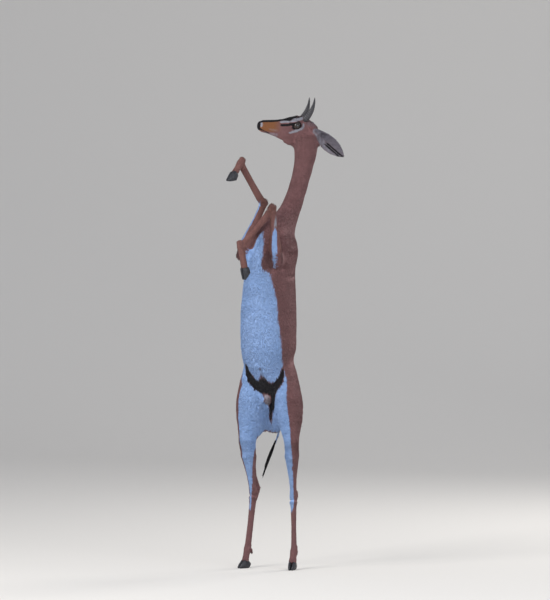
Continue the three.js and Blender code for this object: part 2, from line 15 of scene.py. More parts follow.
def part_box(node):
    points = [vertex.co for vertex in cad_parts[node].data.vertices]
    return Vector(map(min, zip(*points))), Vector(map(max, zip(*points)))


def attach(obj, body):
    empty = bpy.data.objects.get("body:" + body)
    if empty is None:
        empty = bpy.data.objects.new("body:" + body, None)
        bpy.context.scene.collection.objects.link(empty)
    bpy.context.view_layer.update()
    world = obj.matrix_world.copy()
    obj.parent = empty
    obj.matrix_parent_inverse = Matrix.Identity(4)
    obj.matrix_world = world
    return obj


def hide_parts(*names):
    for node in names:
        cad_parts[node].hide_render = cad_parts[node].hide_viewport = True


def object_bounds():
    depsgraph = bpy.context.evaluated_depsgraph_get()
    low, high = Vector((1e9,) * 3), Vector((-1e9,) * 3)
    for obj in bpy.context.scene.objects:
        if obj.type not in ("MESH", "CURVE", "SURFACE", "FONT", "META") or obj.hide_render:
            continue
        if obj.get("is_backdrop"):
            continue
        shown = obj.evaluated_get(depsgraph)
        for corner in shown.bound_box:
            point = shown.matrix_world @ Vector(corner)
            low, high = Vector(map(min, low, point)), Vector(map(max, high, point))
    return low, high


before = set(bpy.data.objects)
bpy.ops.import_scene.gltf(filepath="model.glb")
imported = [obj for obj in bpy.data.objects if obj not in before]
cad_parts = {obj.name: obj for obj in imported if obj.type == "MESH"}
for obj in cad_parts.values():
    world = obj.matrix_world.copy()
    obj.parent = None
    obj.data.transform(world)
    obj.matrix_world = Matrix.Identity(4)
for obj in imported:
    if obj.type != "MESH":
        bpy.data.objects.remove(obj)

LOG = logging.getLogger("gerenuk")
MM = 0.001
# From the millimetres that the joints are given in to the frame's own.
SHIFT = np.array([-50.3, -32.0, 0.0])
BAKE_MAP = "OFBake"
PATCH = 0.003  # the size of a lock's patch on that map
# The body's markings are drawn flat, on a plane across the animal's front that is turned by 23 degrees.
ACROSS = np.array([0.9205, 0.3907, 0.0])
TOWARD = np.array([0.3902, -0.9193, 0.0523])
Point = tuple[float, float, float]
Colour = tuple[float, float, float]
Bands = tuple[tuple[float, tuple[Point, ...]], ...]


class Side(Enum):
    """The animal's own left and right."""

    LEFT = "left"
    RIGHT = "right"

    @property
    def way(self) -> int:
        """+1 on the animal's left and -1 on its right."""
        return 1 if self is Side.LEFT else -1


class Mark(Enum):
    """A marking of the coat, by its place in the two colour attributes that carry the markings."""

    WHITE = ("marks_a", 0)
    BLACK = ("marks_a", 1)
    WARM = ("marks_a", 2)
    PALE = ("marks_b", 0)
    SADDLE = ("marks_b", 1)
    GREY = ("marks_b", 2)


# Small tools for numbers and meshes.


def rise(values: np.ndarray, low: float, high: float) -> np.ndarray:
    """A smooth step from 0 at low to 1 at high.

    Args:
        values: The numbers to step on.
        low: Where the step starts.
        high: Where it ends; it may be under low, and the step then falls.

    Returns:
        The step at each value.
    """
    t = np.clip((values - low) / (high - low), 0, 1)
    return t * t * (3 - 2 * t)


def bump_at(values: np.ndarray, centre: float, reach: float) -> np.ndarray:
    """A smooth hump of height 1 round a centre, with its width set by reach."""
    return np.exp(-(((values - centre) / reach) ** 2))


def unit(vectors: np.ndarray) -> np.ndarray:
    """The vectors, each scaled to length 1."""
    return vectors / np.maximum(np.linalg.norm(vectors, axis=-1, keepdims=True), 1e-12)


def to_row(points: np.ndarray | Sequence[float]) -> np.ndarray:
    """Points in the millimetres of the joints, as metres in the row's frame."""
    return (np.asarray(points, float) + SHIFT) * MM


def numbers_of(
    items: bpy.types.bpy_prop_collection, name: str, kind: type = np.float32, width: int = 1
) -> np.ndarray:
    """A property of each vertex, edge, face or corner of a mesh.

    Args:
        items: The mesh's vertices, edges, polygons, loops or the like.
        name: The property that is read.
        kind: The kind of number.
        width: How many numbers each item has.

    Returns:
        The numbers, in one row for each item where an item has more than one.
    """
    made = np.empty(len(items) * width, kind)
    items.foreach_get(name, made)
    return made if width == 1 else made.reshape(-1, width)


def vertices_of(mesh: bpy.types.Mesh) -> np.ndarray:
    """The vertices of a mesh, one row each."""
    return numbers_of(mesh.vertices, "co", width=3).astype(float)


def to_joints(mesh: bpy.types.Mesh) -> np.ndarray:
    """The vertices of a mesh in the millimetres of the joints."""
    return vertices_of(mesh) / MM - SHIFT


def normals_of(mesh: bpy.types.Mesh) -> np.ndarray:
    """The vertex normals of a mesh, one row each."""
    return numbers_of(mesh.vertex_normals, "vector", width=3).astype(float)


def vectors_of(mesh: bpy.types.Mesh, name: str) -> np.ndarray:
    """The values of a vector attribute, one row for each vertex."""
    return numbers_of(mesh.attributes[name].data, "vector", width=3).astype(float)


def area_of(mesh: bpy.types.Mesh, share: np.ndarray) -> float:
    """The area of a mesh, in square metres, weighted by a number at each vertex.

    Args:
        mesh: The mesh.
        share: The weight of each vertex.

    Returns:
        The area.
    """
    sizes = numbers_of(mesh.polygons, "loop_total", np.int32)
    corners = numbers_of(mesh.loops, "vertex_index", np.int32)
    faces = np.repeat(np.arange(len(sizes)), sizes)
    means = np.bincount(faces, share[corners]) / sizes
    return float(np.sum(means * numbers_of(mesh.polygons, "area")))


def set_vertices(mesh: bpy.types.Mesh, points: np.ndarray) -> None:
    """Puts the vertices of a mesh at new places."""
    mesh.vertices.foreach_set("co", points.astype(np.float32).ravel())
    mesh.update()


def attribute(mesh: bpy.types.Mesh, name: str, kind: str, values: np.ndarray) -> None:
    """Stores one value for each vertex as a named attribute of a mesh.

    Args:
        mesh: The mesh.
        name: The attribute's name.
        kind: FLOAT, FLOAT_VECTOR or FLOAT_COLOR.
        values: One row for each vertex.
    """
    key = {"FLOAT": "value", "FLOAT_VECTOR": "vector", "FLOAT_COLOR": "color"}[kind]
    made = mesh.attributes.new(name, kind, "POINT")
    made.data.foreach_set(key, np.asarray(values, np.float32).ravel())


class Smoother:
    """Averages values over a mesh along its edges.

    Attributes:
        IN: The share of each step toward the mean.
        OUT: The share of each step back, which holds the size of round forms.
    """

    IN = 0.6
    OUT = 0.62

    def __init__(self, mesh: bpy.types.Mesh) -> None:
        """Reads the edges of a mesh."""
        edges = numbers_of(mesh.edges, "vertices", np.int32, 2)
        self.count = len(mesh.vertices)
        self.start = np.concatenate([edges[:, 0], edges[:, 1]])
        self.end = np.concatenate([edges[:, 1], edges[:, 0]])
        self.degree = np.maximum(np.bincount(self.start, minlength=self.count), 1)[:, None]

    def mean(self, values: np.ndarray) -> np.ndarray:
        """The mean of each vertex's neighbours."""
        columns = [
            np.bincount(self.start, values[self.end, k], self.count) for k in range(values.shape[1])
        ]
        return np.stack(columns, 1) / self.degree

    def run(
        self, values: np.ndarray, rounds: int, share: np.ndarray | float, keep: bool = False
    ) -> np.ndarray:
        """Smooths values over the mesh.

        Args:
            values: One row for each vertex.
            rounds: How many times to average.
            share: How far each vertex goes to the mean of its neighbours, 0 to 1.
            keep: Whether a second step back holds the size of round forms.

        Returns:
            The smoothed values.
        """
        for _ in range(rounds):
            values = values + share * self.IN * (self.mean(values) - values)
            if keep:
                values = values - share * self.OUT * (self.mean(values) - values)
        return values


def new_object(
    name: str, mesh: bpy.types.Mesh, material: bpy.types.Material | None = None
) -> bpy.types.Object:
    """An object at the origin that shows a mesh, shaded smooth.

    Args:
        name: The object's name.
        mesh: Its mesh.
        material: Its material, in place of the mesh's own.

    Returns:
        The object.
    """
    made = bpy.data.objects.new(name, mesh)
    bpy.context.scene.collection.objects.link(made)
    mesh.polygons.foreach_set("use_smooth", np.ones(len(mesh.polygons), bool))
    if material is not None:
        mesh.materials.clear()
        mesh.materials.append(material)
    return made


def mesh_from(name: str, points: np.ndarray, faces: Sequence[Sequence[int]]) -> bpy.types.Mesh:
    """A mesh from points in metres and faces.

    Args:
        name: The mesh's name.
        points: Its points, one row each.
        faces: The numbers of each face's points.

    Returns:
        The mesh.
    """
    mesh = bpy.data.meshes.new(name)
    mesh.from_pydata([tuple(p) for p in points], [], [tuple(f) for f in faces])
    mesh.update()
    return mesh


def baked(piece: bpy.types.Object) -> bpy.types.Mesh:
    """The mesh of an object with its modifiers applied, in place of the object.

    Args:
        piece: The object, which is removed.

    Returns:
        The mesh.
    """
    bpy.context.view_layer.update()
    graph = bpy.context.evaluated_depsgraph_get()
    made = bpy.data.meshes.new_from_object(piece.evaluated_get(graph))
    bpy.data.objects.remove(piece)
    return made


def merged_copy(node: str, swell: float = 0.0) -> bmesh.types.BMesh:
    """A copy of a CAD node with its loose triangles merged.

    Args:
        node: The node's name.
        swell: How far it grows along its normals, in metres.

    Returns:
        The copy.
    """
    made = bmesh.new()
    made.from_mesh(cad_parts[node].data)
    bmesh.ops.remove_doubles(made, verts=made.verts, dist=1e-6)
    made.normal_update()
    if swell:
        moves = [v.normal * swell for v in made.verts]
        for vertex, move in zip(made.verts, moves):
            vertex.co += move
    return made


def remeshed(name: str, nodes: Sequence[str], voxel: float, swell: float = 0.0) -> bpy.types.Mesh:
    """Copies of CAD nodes, joined into one even mesh.

    Args:
        name: The mesh's name.
        nodes: The nodes that are joined.
        voxel: The size of its faces, in metres.
        swell: How far each node grows first, so that narrow gaps close.

    Returns:
        The mesh.
    """
    joined = bmesh.new()
    for node in nodes:
        part = merged_copy(node, swell)
        holder = bpy.data.meshes.new("holder")
        part.to_mesh(holder)
        part.free()
        joined.from_mesh(holder)
        bpy.data.meshes.remove(holder)
    mesh = bpy.data.meshes.new(name)
    joined.to_mesh(mesh)
    joined.free()
    piece = new_object(name, mesh)
    step = piece.modifiers.new("remesh", "REMESH")
    step.mode = "VOXEL"
    step.voxel_size = voxel
    return baked(piece)


def tube(
    points: np.ndarray, radii: np.ndarray, sides: int, across: np.ndarray
) -> tuple[np.ndarray, list[list[int]]]:
    """A closed tube along points.

    Args:
        points: The middle of each ring.
        radii: Two radii for each ring, along across and square to it.
        sides: The number of sides.
        across: The direction of the first radius.

    Returns:
        The tube's points and faces.
    """
    tangents = unit(np.gradient(points, axis=0))
    first = unit(across - tangents * np.sum(tangents * across, 1, keepdims=True))
    second = np.cross(tangents, first)
    angles = np.arange(sides) * 2 * np.pi / sides
    ring = (
        first[:, None] * np.cos(angles)[None, :, None] * radii[:, None, :1]
        + second[:, None] * np.sin(angles)[None, :, None] * radii[:, None, 1:]
    )
    body = (points[:, None] + ring).reshape(-1, 3)
    faces = []
    for r in range(len(points) - 1):
        for k in range(sides):
            a, b = r * sides + k, r * sides + (k + 1) % sides
            faces.append([a, b, b + sides, a + sides])
    last = (len(points) - 1) * sides
    faces.append(list(range(sides))[::-1])
    faces.append(list(range(last, last + sides)))
    return body, faces


# Shader and node trees.


class Value:
    """One number socket of a node tree, with the operators that add Math nodes."""

    def __init__(self, graph: "Graph", socket: bpy.types.NodeSocket) -> None:
        """Wraps a socket of a graph."""
        self.graph = graph
        self.socket = socket

    def _math(self, operation: str, first: "Value | float", second: "Value | float") -> "Value":
        """A Math node on two values."""
        made = self.graph.node("ShaderNodeMath", {"operation": operation}, {0: first, 1: second})
        return Value(self.graph, made.outputs[0])

    def __add__(self, other: "Value | float") -> "Value":
        """The sum."""
        return self._math("ADD", self, other)

    __radd__ = __add__

    def __sub__(self, other: "Value | float") -> "Value":
        """The difference."""
        return self._math("SUBTRACT", self, other)

    def __rsub__(self, other: "Value | float") -> "Value":
        """The difference, from a number."""
        return self._math("SUBTRACT", other, self)

    def __mul__(self, other: "Value | float") -> "Value":
        """The product."""
        return self._math("MULTIPLY", self, other)

    __rmul__ = __mul__

    def __pow__(self, other: "Value | float") -> "Value":
        """The power."""
        return self._math("POWER", self, other)

    def between(self, low: float, high: float) -> "Value":
        """A smooth step of this value from 0 at low to 1 at high."""
        made = self.graph.node(
            "ShaderNodeMapRange",
            {"interpolation_type": "SMOOTHSTEP"},
            {"Value": self, "From Min": low, "From Max": high},
        )
        return Value(self.graph, made.outputs[0])


class Graph:
    """A node tree that nodes are added to."""

    def __init__(self, tree: bpy.types.NodeTree) -> None:
        """Starts on a tree with no nodes."""
        self.tree = tree
        tree.nodes.clear()

    def node(self, kind: str, settings: dict | None = None, inputs: dict | None = None) -> bpy.types.Node:
        """Adds one node.

        Args:
            kind: The node's type.
            settings: Its properties, which are set first.
            inputs: A value or a link for each socket, by name or number.

        Returns:
            The node.
        """
        made = self.tree.nodes.new(kind)
        for name, value in (settings or {}).items():
            setattr(made, name, value)
        for key, value in (inputs or {}).items():
            if isinstance(value, Value):
                self.tree.links.new(value.socket, made.inputs[key])
            elif isinstance(value, bpy.types.NodeSocket):
                self.tree.links.new(value, made.inputs[key])
            else:
                made.inputs[key].default_value = value
        return made


class Paint(Graph):
    """A material's node tree."""

    def __init__(self, name: str) -> None:
        """Starts a material with no nodes but its output."""
        self.material = bpy.data.materials.new(name)
        self.material.use_nodes = True
        super().__init__(self.material.node_tree)
        self.out = self.node("ShaderNodeOutputMaterial")
        self.place = self.node("ShaderNodeTexCoord").outputs["Object"]

    def mix(
        self,
        share: Value | float,
        first: Colour | bpy.types.NodeSocket,
        second: Colour | bpy.types.NodeSocket,
    ) -> bpy.types.NodeSocket:
        """A blend of two colours.

        Args:
            share: How much of the second colour there is, 0 to 1.
            first: The first colour, or its socket.
            second: The second colour, or its socket.

        Returns:
            The blended colour's socket.
        """
        pair = [c if isinstance(c, bpy.types.NodeSocket) else (*c, 1.0) for c in (first, second)]
        made = self.node(
            "ShaderNodeMix",
            {"data_type": "RGBA", "clamp_factor": True},
            {0: share, 6: pair[0], 7: pair[1]},
        )
        return made.outputs[2]

    def marks(self, name: str) -> list[Value]:
        """The three numbers of a colour attribute."""
        read = self.node("ShaderNodeAttribute", {"attribute_name": name})
        parts = self.node("ShaderNodeSeparateColor", {}, {0: read.outputs["Color"]})
        return [Value(self, socket) for socket in parts.outputs]

    def grain(self, scale: Point, detail: float = 2.0, roughness: float = 0.5, at: float = 1.0) -> Value:
        """Noise in the object's own coordinates.

        Args:
            scale: Cells to a metre along x, y and z.
            detail: The number of octaves.
            roughness: How strong the finer octaves are.
            at: A shift that makes one noise differ from another.

        Returns:
            The noise, about 0.5.
        """
        mapped = self.node(
            "ShaderNodeMapping", {}, {"Vector": self.place, "Scale": scale, "Location": (at, at * 2, at * 3)}
        )
        made = self.node(
            "ShaderNodeTexNoise",
            {},
            {"Vector": mapped.outputs[0], "Scale": 1.0, "Detail": detail, "Roughness": roughness},
        )
        return Value(self, made.outputs[0])

    def bump(self, height: Value, distance: float, strength: float = 1.0) -> bpy.types.NodeSocket:
        """The normals of a height, in metres."""
        made = self.node("ShaderNodeBump", {}, {"Height": height, "Distance": distance, "Strength": strength})
        return made.outputs[0]

    def finish(self, **sockets: object) -> bpy.types.Material:
        """Adds the surface shader.

        Args:
            sockets: The shader's sockets by name, with an underline for each space.

        Returns:
            The material.
        """
        inputs = {}
        for name, value in sockets.items():
            key = name.replace("_", " ")
            if isinstance(value, tuple) and len(value) == 3:
                value = (*value, 1.0)
            inputs[key] = value
        shader = self.node("ShaderNodeBsdfPrincipled", {}, inputs)
        self.tree.links.new(shader.outputs[0], self.out.inputs[0])
        return self.material


@dataclass(frozen=True)
class CoatFinish:
    """The short coat's colours, which the markings choose between; the white colours are blue with painted
    sky shade, and the browns are reddish brown with a mauve cast of painted shade.
    """

    # The browns are reddish brown with a mauve cast of painted blue shade mixed in.
    brown: Colour = (0.155, 0.074, 0.076)
    brown_light: Colour = (0.238, 0.118, 0.120)
    saddle: Colour = (0.098, 0.048, 0.050)
    warm: Colour = (0.235, 0.096, 0.040)
    # The two white colours are the belly's white turned blue by painted sky shade.
    white: Colour = (0.215, 0.345, 0.62)
    sky_shaded_white_light: Colour = (0.30, 0.435, 0.72)
    black: Colour = (0.006, 0.005, 0.007)
    pale: Colour = (0.30, 0.30, 0.345)
    grey: Colour = (0.15, 0.14, 0.168)
    hair: Point = (420.0, 420.0, 110.0)
    hair_height: float = 0.0006

    def material(self, name: str, depth: float) -> bpy.types.Material:
        """The coat's material.

        Args:
            name: The material's name.
            depth: How strong the bump of the lying hair is.

        Returns:
            The material.
        """
        paint = Paint(name)
        strands = paint.grain(self.hair, 3.0, 0.6)
        drift = paint.grain((9.0, 9.0, 5.0), 3.0, 0.55, 4.0)
        locks = paint.grain((95.0, 95.0, 26.0), 2.0, 0.5, 7.0)
        light = (strands * 0.55 + drift * 0.75 + locks * 0.45).between(0.55, 1.3)
        white, black, warm = paint.marks("marks_a")
        pale, saddle, grey = paint.marks("marks_b")
        edge = (strands - 0.5) * 0.5 + (locks - 0.5) * 0.35
        colour = paint.mix(light, self.brown, self.brown_light)
        colour = paint.mix(saddle * 0.85, colour, self.saddle)
        colour = paint.mix((warm + edge * 0.5).between(0.2, 0.95), colour, self.warm)
        colour = paint.mix((grey + edge * 0.6).between(0.15, 1.0), colour, self.grey)
        colour = paint.mix((pale + edge).between(0.3, 0.75), colour, self.pale)
        # The white coat here is blue with painted sky shade.
        sky_shaded_whites = paint.mix(light, self.white, self.sky_shaded_white_light)
        colour = paint.mix((white + edge).between(0.38, 0.62), colour, sky_shaded_whites)
        colour = paint.mix((black + edge).between(0.36, 0.66), colour, self.black)
        return paint.finish(
            Base_Color=colour,
            Roughness=0.62 + strands * 0.22,
            Specular_IOR_Level=0.16,
            Sheen_Weight=0.06,
            Sheen_Roughness=0.45,
            Normal=paint.bump(strands * 0.7 + locks * 0.9, self.hair_height, depth),
        )


@dataclass(frozen=True)
class HornFinish:
    """Dark keratin with pale wear on the ridges."""

    dark: Colour = (0.012, 0.012, 0.017)
    worn: Colour = (0.060, 0.056, 0.062)

    def material(self) -> bpy.types.Material:
        """The horns' material."""
        paint = Paint("horn")
        fibres = paint.grain((700.0, 700.0, 90.0), 3.0, 0.6)
        patches = paint.grain((45.0, 45.0, 45.0), 2.0, 0.5, 3.0)
        ridge = Value(paint, paint.node("ShaderNodeAttribute", {"attribute_name": "ridge"}).outputs["Fac"])
        wear = (ridge * 0.7 + fibres * 0.35 + patches * 0.35).between(0.45, 1.15)
        return paint.finish(
            Base_Color=paint.mix(wear, self.dark, self.worn),
            Roughness=0.34 + fibres * 0.2,
            Normal=paint.bump(fibres, 0.0004, 0.7),
        )


@dataclass(frozen=True)
class HoofFinish:
    """Blue-black hoof horn with growth rings and a scuffed tip."""

    dark: Colour = (0.014, 0.015, 0.021)
    worn: Colour = (0.050, 0.050, 0.058)

    def material(self) -> bpy.types.Material:
        """The hooves' material."""
        paint = Paint("hoof")
        fibres = paint.grain((500.0, 500.0, 120.0), 3.0, 0.6)
        rings = paint.grain((20.0, 20.0, 420.0), 1.0, 0.5, 2.0)
        scuffs = paint.grain((160.0, 160.0, 160.0), 4.0, 0.7, 5.0)
        wear = (scuffs * 0.8 + rings * 0.4).between(0.55, 0.85)
        return paint.finish(
            Base_Color=paint.mix(wear, self.dark, self.worn),
            Roughness=0.3 + scuffs * 0.3,
            Normal=paint.bump(rings * 0.8 + fibres * 0.3, 0.0005, 0.8),
        )


@dataclass(frozen=True)
class EyeFinish:
    """A dark brown eye with a level pupil and a wet surface."""

    iris: Colour = (0.030, 0.012, 0.005)
    rim: Colour = (0.012, 0.006, 0.004)
    pupil: Colour = (0.002, 0.002, 0.003)
    white: Colour = (0.030, 0.022, 0.018)

    def material(self) -> bpy.types.Material:
        """The eyes' material, on the attribute that holds a place on the eye."""
        paint = Paint("eye")
        read = paint.node("ShaderNodeAttribute", {"attribute_name": "gaze"})
        parts = paint.node("ShaderNodeSeparateXYZ", {}, {0: read.outputs["Vector"]})
        level, upright = [Value(paint, parts.outputs[k]) for k in (0, 1)]
        spokes = paint.grain((900.0, 900.0, 900.0), 3.0, 0.6)
        reach = (level**2 + upright**2) ** 0.5
        slot_reach = ((level * 0.55) ** 2 + (upright * 1.25) ** 2) ** 0.5
        iris = paint.mix(spokes.between(0.35, 0.7), self.rim, self.iris)
        colour = paint.mix(reach.between(0.62, 0.74), iris, self.rim)
        colour = paint.mix(reach.between(0.8, 0.92), colour, self.white)
        colour = paint.mix(slot_reach.between(0.34, 0.27), colour, self.pupil)
        return paint.finish(
            Base_Color=colour,
            Roughness=0.12,
            Coat_Weight=0.45,
            Coat_Roughness=0.04,
        )


@dataclass(frozen=True)
class FloorFinish:
    """The studio floor."""

    pale: Colour = (0.74, 0.72, 0.69)

    def material(self) -> bpy.types.Material:
        """The floor's material."""
        paint = Paint("floor")
        return paint.finish(Base_Color=self.pale, Roughness=0.9)


# The animal's lines: every bone as a path, in the millimetres of the joints.


@dataclass(frozen=True)
class Line:
    """A path along one part of the body, in the direction in which the hair lies.

    Attributes:
        name: The part's name.
        points: The path.
        radius: The part's rough radius round it.
        cell: The part's place on the unwrap: left, bottom, width and height.
    """

    name: str
    points: tuple[Point, ...]
    radius: float
    cell: tuple[float, float, float, float]

    def nearest(self, places: np.ndarray) -> tuple[np.ndarray, np.ndarray, np.ndarray, np.ndarray]:
        """The nearest spot of the path to each place.

        Args:
            places: Points in the millimetres of the joints.

        Returns:
            The distance, the share of the path's length, the spot and the path's direction there.
        """
        path = np.array(self.points, float)
        lengths = np.linalg.norm(np.diff(path, axis=0), axis=1)
        before = np.concatenate([[0], np.cumsum(lengths)])
        best = np.full(len(places), 1e9)
        share = np.zeros(len(places))
        spots = np.zeros_like(places)
        ways = np.zeros_like(places)
        for k, length in enumerate(lengths):
            way = (path[k + 1] - path[k]) / length
            along = np.clip((places - path[k]) @ way, 0, length)
            spot = path[k] + along[:, None] * way
            distance = np.linalg.norm(places - spot, axis=1)
            closer = distance < best
            best[closer] = distance[closer]
            share[closer] = ((before[k] + along) / before[-1])[closer]
            spots[closer] = spot[closer]
            ways[closer] = way
        return best, share, spots, ways


@dataclass(frozen=True)
class HindLeg:
    """The joints of one hind leg, from the hip to the toe."""

    hip: Point
    stifle: Point
    hock: Point
    fetlock: Point
    toe: Point


@dataclass(frozen=True)
class Foreleg:
    """The joints of one foreleg, from the shoulder blade to the toe."""

    blade: Point
    elbow: Point
    carpus: Point
    fetlock: Point
    toe: Point


@dataclass(frozen=True)
class Pose:
    """The whole pose: the joints that the CAD model was built on."""

    trunk: tuple[Point, ...] = ((31, 20, 1430), (11, 0, 1300), (-1, -5, 1065), (-3, 20, 845), (-1, 56, 590))
    neck: tuple[Point, ...] = (
        (105, 168, 1815), (96, 149, 1705), (76, 114, 1580), (52, 72, 1480), (36, 40, 1430)
    )
    hind: dict[Side, HindLeg] = field(
        default_factory=lambda: {
            Side.LEFT: HindLeg((71, 20, 745), (122, -48, 552), (94, 42, 308), (98, 38, 82), (100, 13, 0)),
            Side.RIGHT: HindLeg(
                (-76, 20, 745), (-87, -44, 552), (-90, 40, 322), (-114, 36, 82), (-120, 11, 0)
            ),
        }
    )
    fore: dict[Side, Foreleg] = field(
        default_factory=lambda: {
            Side.LEFT: Foreleg(
                (72, 10, 1400), (86, -118, 1296), (86, -168, 1524), (-8, -283, 1372), (4, -250, 1240)
            ),
            Side.RIGHT: Foreleg(
                (-38, 10, 1400), (-76, -108, 1322), (26, -122, 1544), (-28, -236, 1718), (-50, -296, 1642)
            ),
        }
    )
    tail: tuple[Point, ...] = (
        (0, 84, 716), (0, 126, 668), (-5, 134, 600), (-21, 122, 535), (-39, 105, 476), (-58, 86, 400)
    )
    legs_left: float = 0.51
    leg_width: float = 0.21

    def lines(self) -> list[Line]:
        """Every part of the body as a path, with its place on the unwrap."""
        made = [
            Line("trunk", self.trunk, 112, (0.0, 0.0, 0.5, 0.6)),
            Line("neck", self.neck, 42, (0.0, 0.61, 0.24, 0.38)),
            Line("tail", self.tail, 10, (0.94, 0.0, 0.05, 0.3)),
        ]
        hind = (
            ("thigh", "hip", "stifle", 62, (0.0, 0.0, 0.2, 0.24)),
            ("gaskin", "stifle", "hock", 24, (0.0, 0.25, 0.1, 0.2)),
            ("hind_cannon", "hock", "fetlock", 13, (0.11, 0.25, 0.05, 0.2)),
            ("hind_foot", "fetlock", "toe", 15, (0.165, 0.25, 0.04, 0.1)),
        )
        fore = (
            ("shoulder", "blade", "elbow", 44, (0.0, 0.46, 0.1, 0.15)),
            ("forearm", "elbow", "carpus", 22, (0.105, 0.46, 0.05, 0.2)),
            ("fore_cannon", "carpus", "fetlock", 13, (0.16, 0.46, 0.025, 0.2)),
            ("fore_foot", "fetlock", "toe", 15, (0.19, 0.46, 0.018, 0.12)),
        )
        for legs, parts in ((self.hind, hind), (self.fore, fore)):
            for number, (side, leg) in enumerate(legs.items()):
                for part, start, end, radius, (left, *rest) in parts:
                    cell = (self.legs_left + self.leg_width * number + left, *rest)
                    path = (getattr(leg, start), getattr(leg, end))
                    made.append(Line(f"{part}_{side.value}", path, radius, cell))
        made.extend(HEAD.lines())
        return made


@dataclass(frozen=True)
class Head:
    """The head's own frame and features, in millimetres: x to the nose, y to the animal's left, z up."""

    joint: Point = (104, 178, 1845)
    turn: float = -50
    lift: float = 6
    eye: Point = (63, 33.5, 15)
    ears: dict[Side, tuple[Point, Point, Point]] = field(
        default_factory=lambda: {
            Side.LEFT: ((-9, 32, 5), (-0.8, 0.16, -0.575), (0.1, 0.95, -0.12)),
            Side.RIGHT: ((-6, -33, 14), (-0.5, -0.86, -0.06), (0.75, -0.5, -0.25)),
        }
    )
    ear_length: float = 172

    def axes(self) -> np.ndarray:
        """The head's three directions, one in each row."""
        turned = Matrix.Rotation(math.radians(self.turn - 90), 3, "Z") @ Matrix.Rotation(
            math.radians(-self.lift), 3, "Y"
        )
        return np.array(turned).T

    def inside(self, places: np.ndarray) -> np.ndarray:
        """Points in the millimetres of the joints, in the head's frame."""
        return (places - np.array(self.joint)) @ self.axes().T

    def outside(self, places: np.ndarray | Sequence[float]) -> np.ndarray:
        """Points in the head's frame, in the millimetres of the joints."""
        return np.asarray(places, float) @ self.axes() + np.array(self.joint)

    def lines(self) -> list[Line]:
        """The skull and the two ears as paths."""
        face = tuple(tuple(p) for p in self.outside([(-10, 0, 2), (60, 0, 0), (222, 0, -1)]))
        made = [Line("head", face, 42, (0.25, 0.61, 0.2, 0.38))]
        for number, (side, (root, along, _)) in enumerate(self.ears.items()):
            way = unit(np.array(along))
            tip = np.array(root) + way * self.ear_length
            path = tuple(tuple(p) for p in self.outside([np.array(root) + way * 14, tip]))
            made.append(Line(f"ear_{side.value}", path, 16, (0.46 + 0.1 * number, 0.82, 0.09, 0.17)))
        return made


HEAD = Head()
POSE = Pose()


class Atlas:
    """The unwrap of the skin: each part of the body is rolled out like a sleeve into a place of its own.

    Attributes:
        TURN: The share of a cell's width that one turn round the part takes.
        EDGE: The share of a cell's height that is left free at its bottom.
        LENGTH: The share of a cell's height that the part's length takes.
        PAST: The millimetres past a part's end that would take a whole cell.
    """

    TURN = 0.94
    EDGE = 0.06
    LENGTH = 0.88
    PAST = 400

    def __init__(self) -> None:
        """Reads the parts' paths."""
        self.lines = POSE.lines()

    def part(self, places: np.ndarray) -> tuple[np.ndarray, np.ndarray, np.ndarray]:
        """The part that each place belongs to.

        Args:
            places: Points in the millimetres of the joints.

        Returns:
            The part's number, the share of its length and the direction of its hair.
        """
        best = np.full(len(places), 1e9)
        number = np.zeros(len(places), int)
        share = np.zeros(len(places))
        ways = np.zeros_like(places)
        for k, line in enumerate(self.lines):
            distance, along, _, way = line.nearest(places)
            closer = distance - line.radius < best
            best[closer] = (distance - line.radius)[closer]
            number[closer] = k
            share[closer] = along[closer]
            ways[closer] = way[closer]
        return number, share, ways

    def is_part(self, number: np.ndarray, *words: str) -> np.ndarray:
        """Whether each part's name starts with one of some words."""
        named = np.array([line.name.startswith(words) for line in self.lines])
        return named[number]

    def unwrap(self, places: np.ndarray, number: np.ndarray, middles: np.ndarray) -> np.ndarray:
        """The place of points on the unwrap.

        Args:
            places: Points in the millimetres of the joints.
            number: The part that each of them is drawn on.
            middles: For each point, a near point that settles which end of the sleeve it is on.

        Returns:
            Two coordinates for each point.
        """
        made = np.zeros((len(places), 2))
        for k, line in enumerate(self.lines):
            chosen = number == k
            if not chosen.any():
                continue
            _, share, spots, ways = line.nearest(places[chosen])
            front = unit(np.cross(ways, np.array([1.0, 0.13, 0.02])))
            across = np.cross(front, ways)
            angles = []
            for points in (places[chosen], middles[chosen]):
                out = points - spots
                angles.append(np.arctan2(np.sum(out * across, 1), np.sum(out * front, 1)) / (2 * np.pi))
            turns = angles[0] - np.round(angles[0] - angles[1])
            left, bottom, width, height = line.cell
            past = np.sum((places[chosen] - spots) * ways, 1) / self.PAST
            made[chosen, 0] = left + width * (0.5 + self.TURN * turns)
            made[chosen, 1] = bottom + height * np.clip(self.EDGE + self.LENGTH * share + past, 0, 1)
        return made


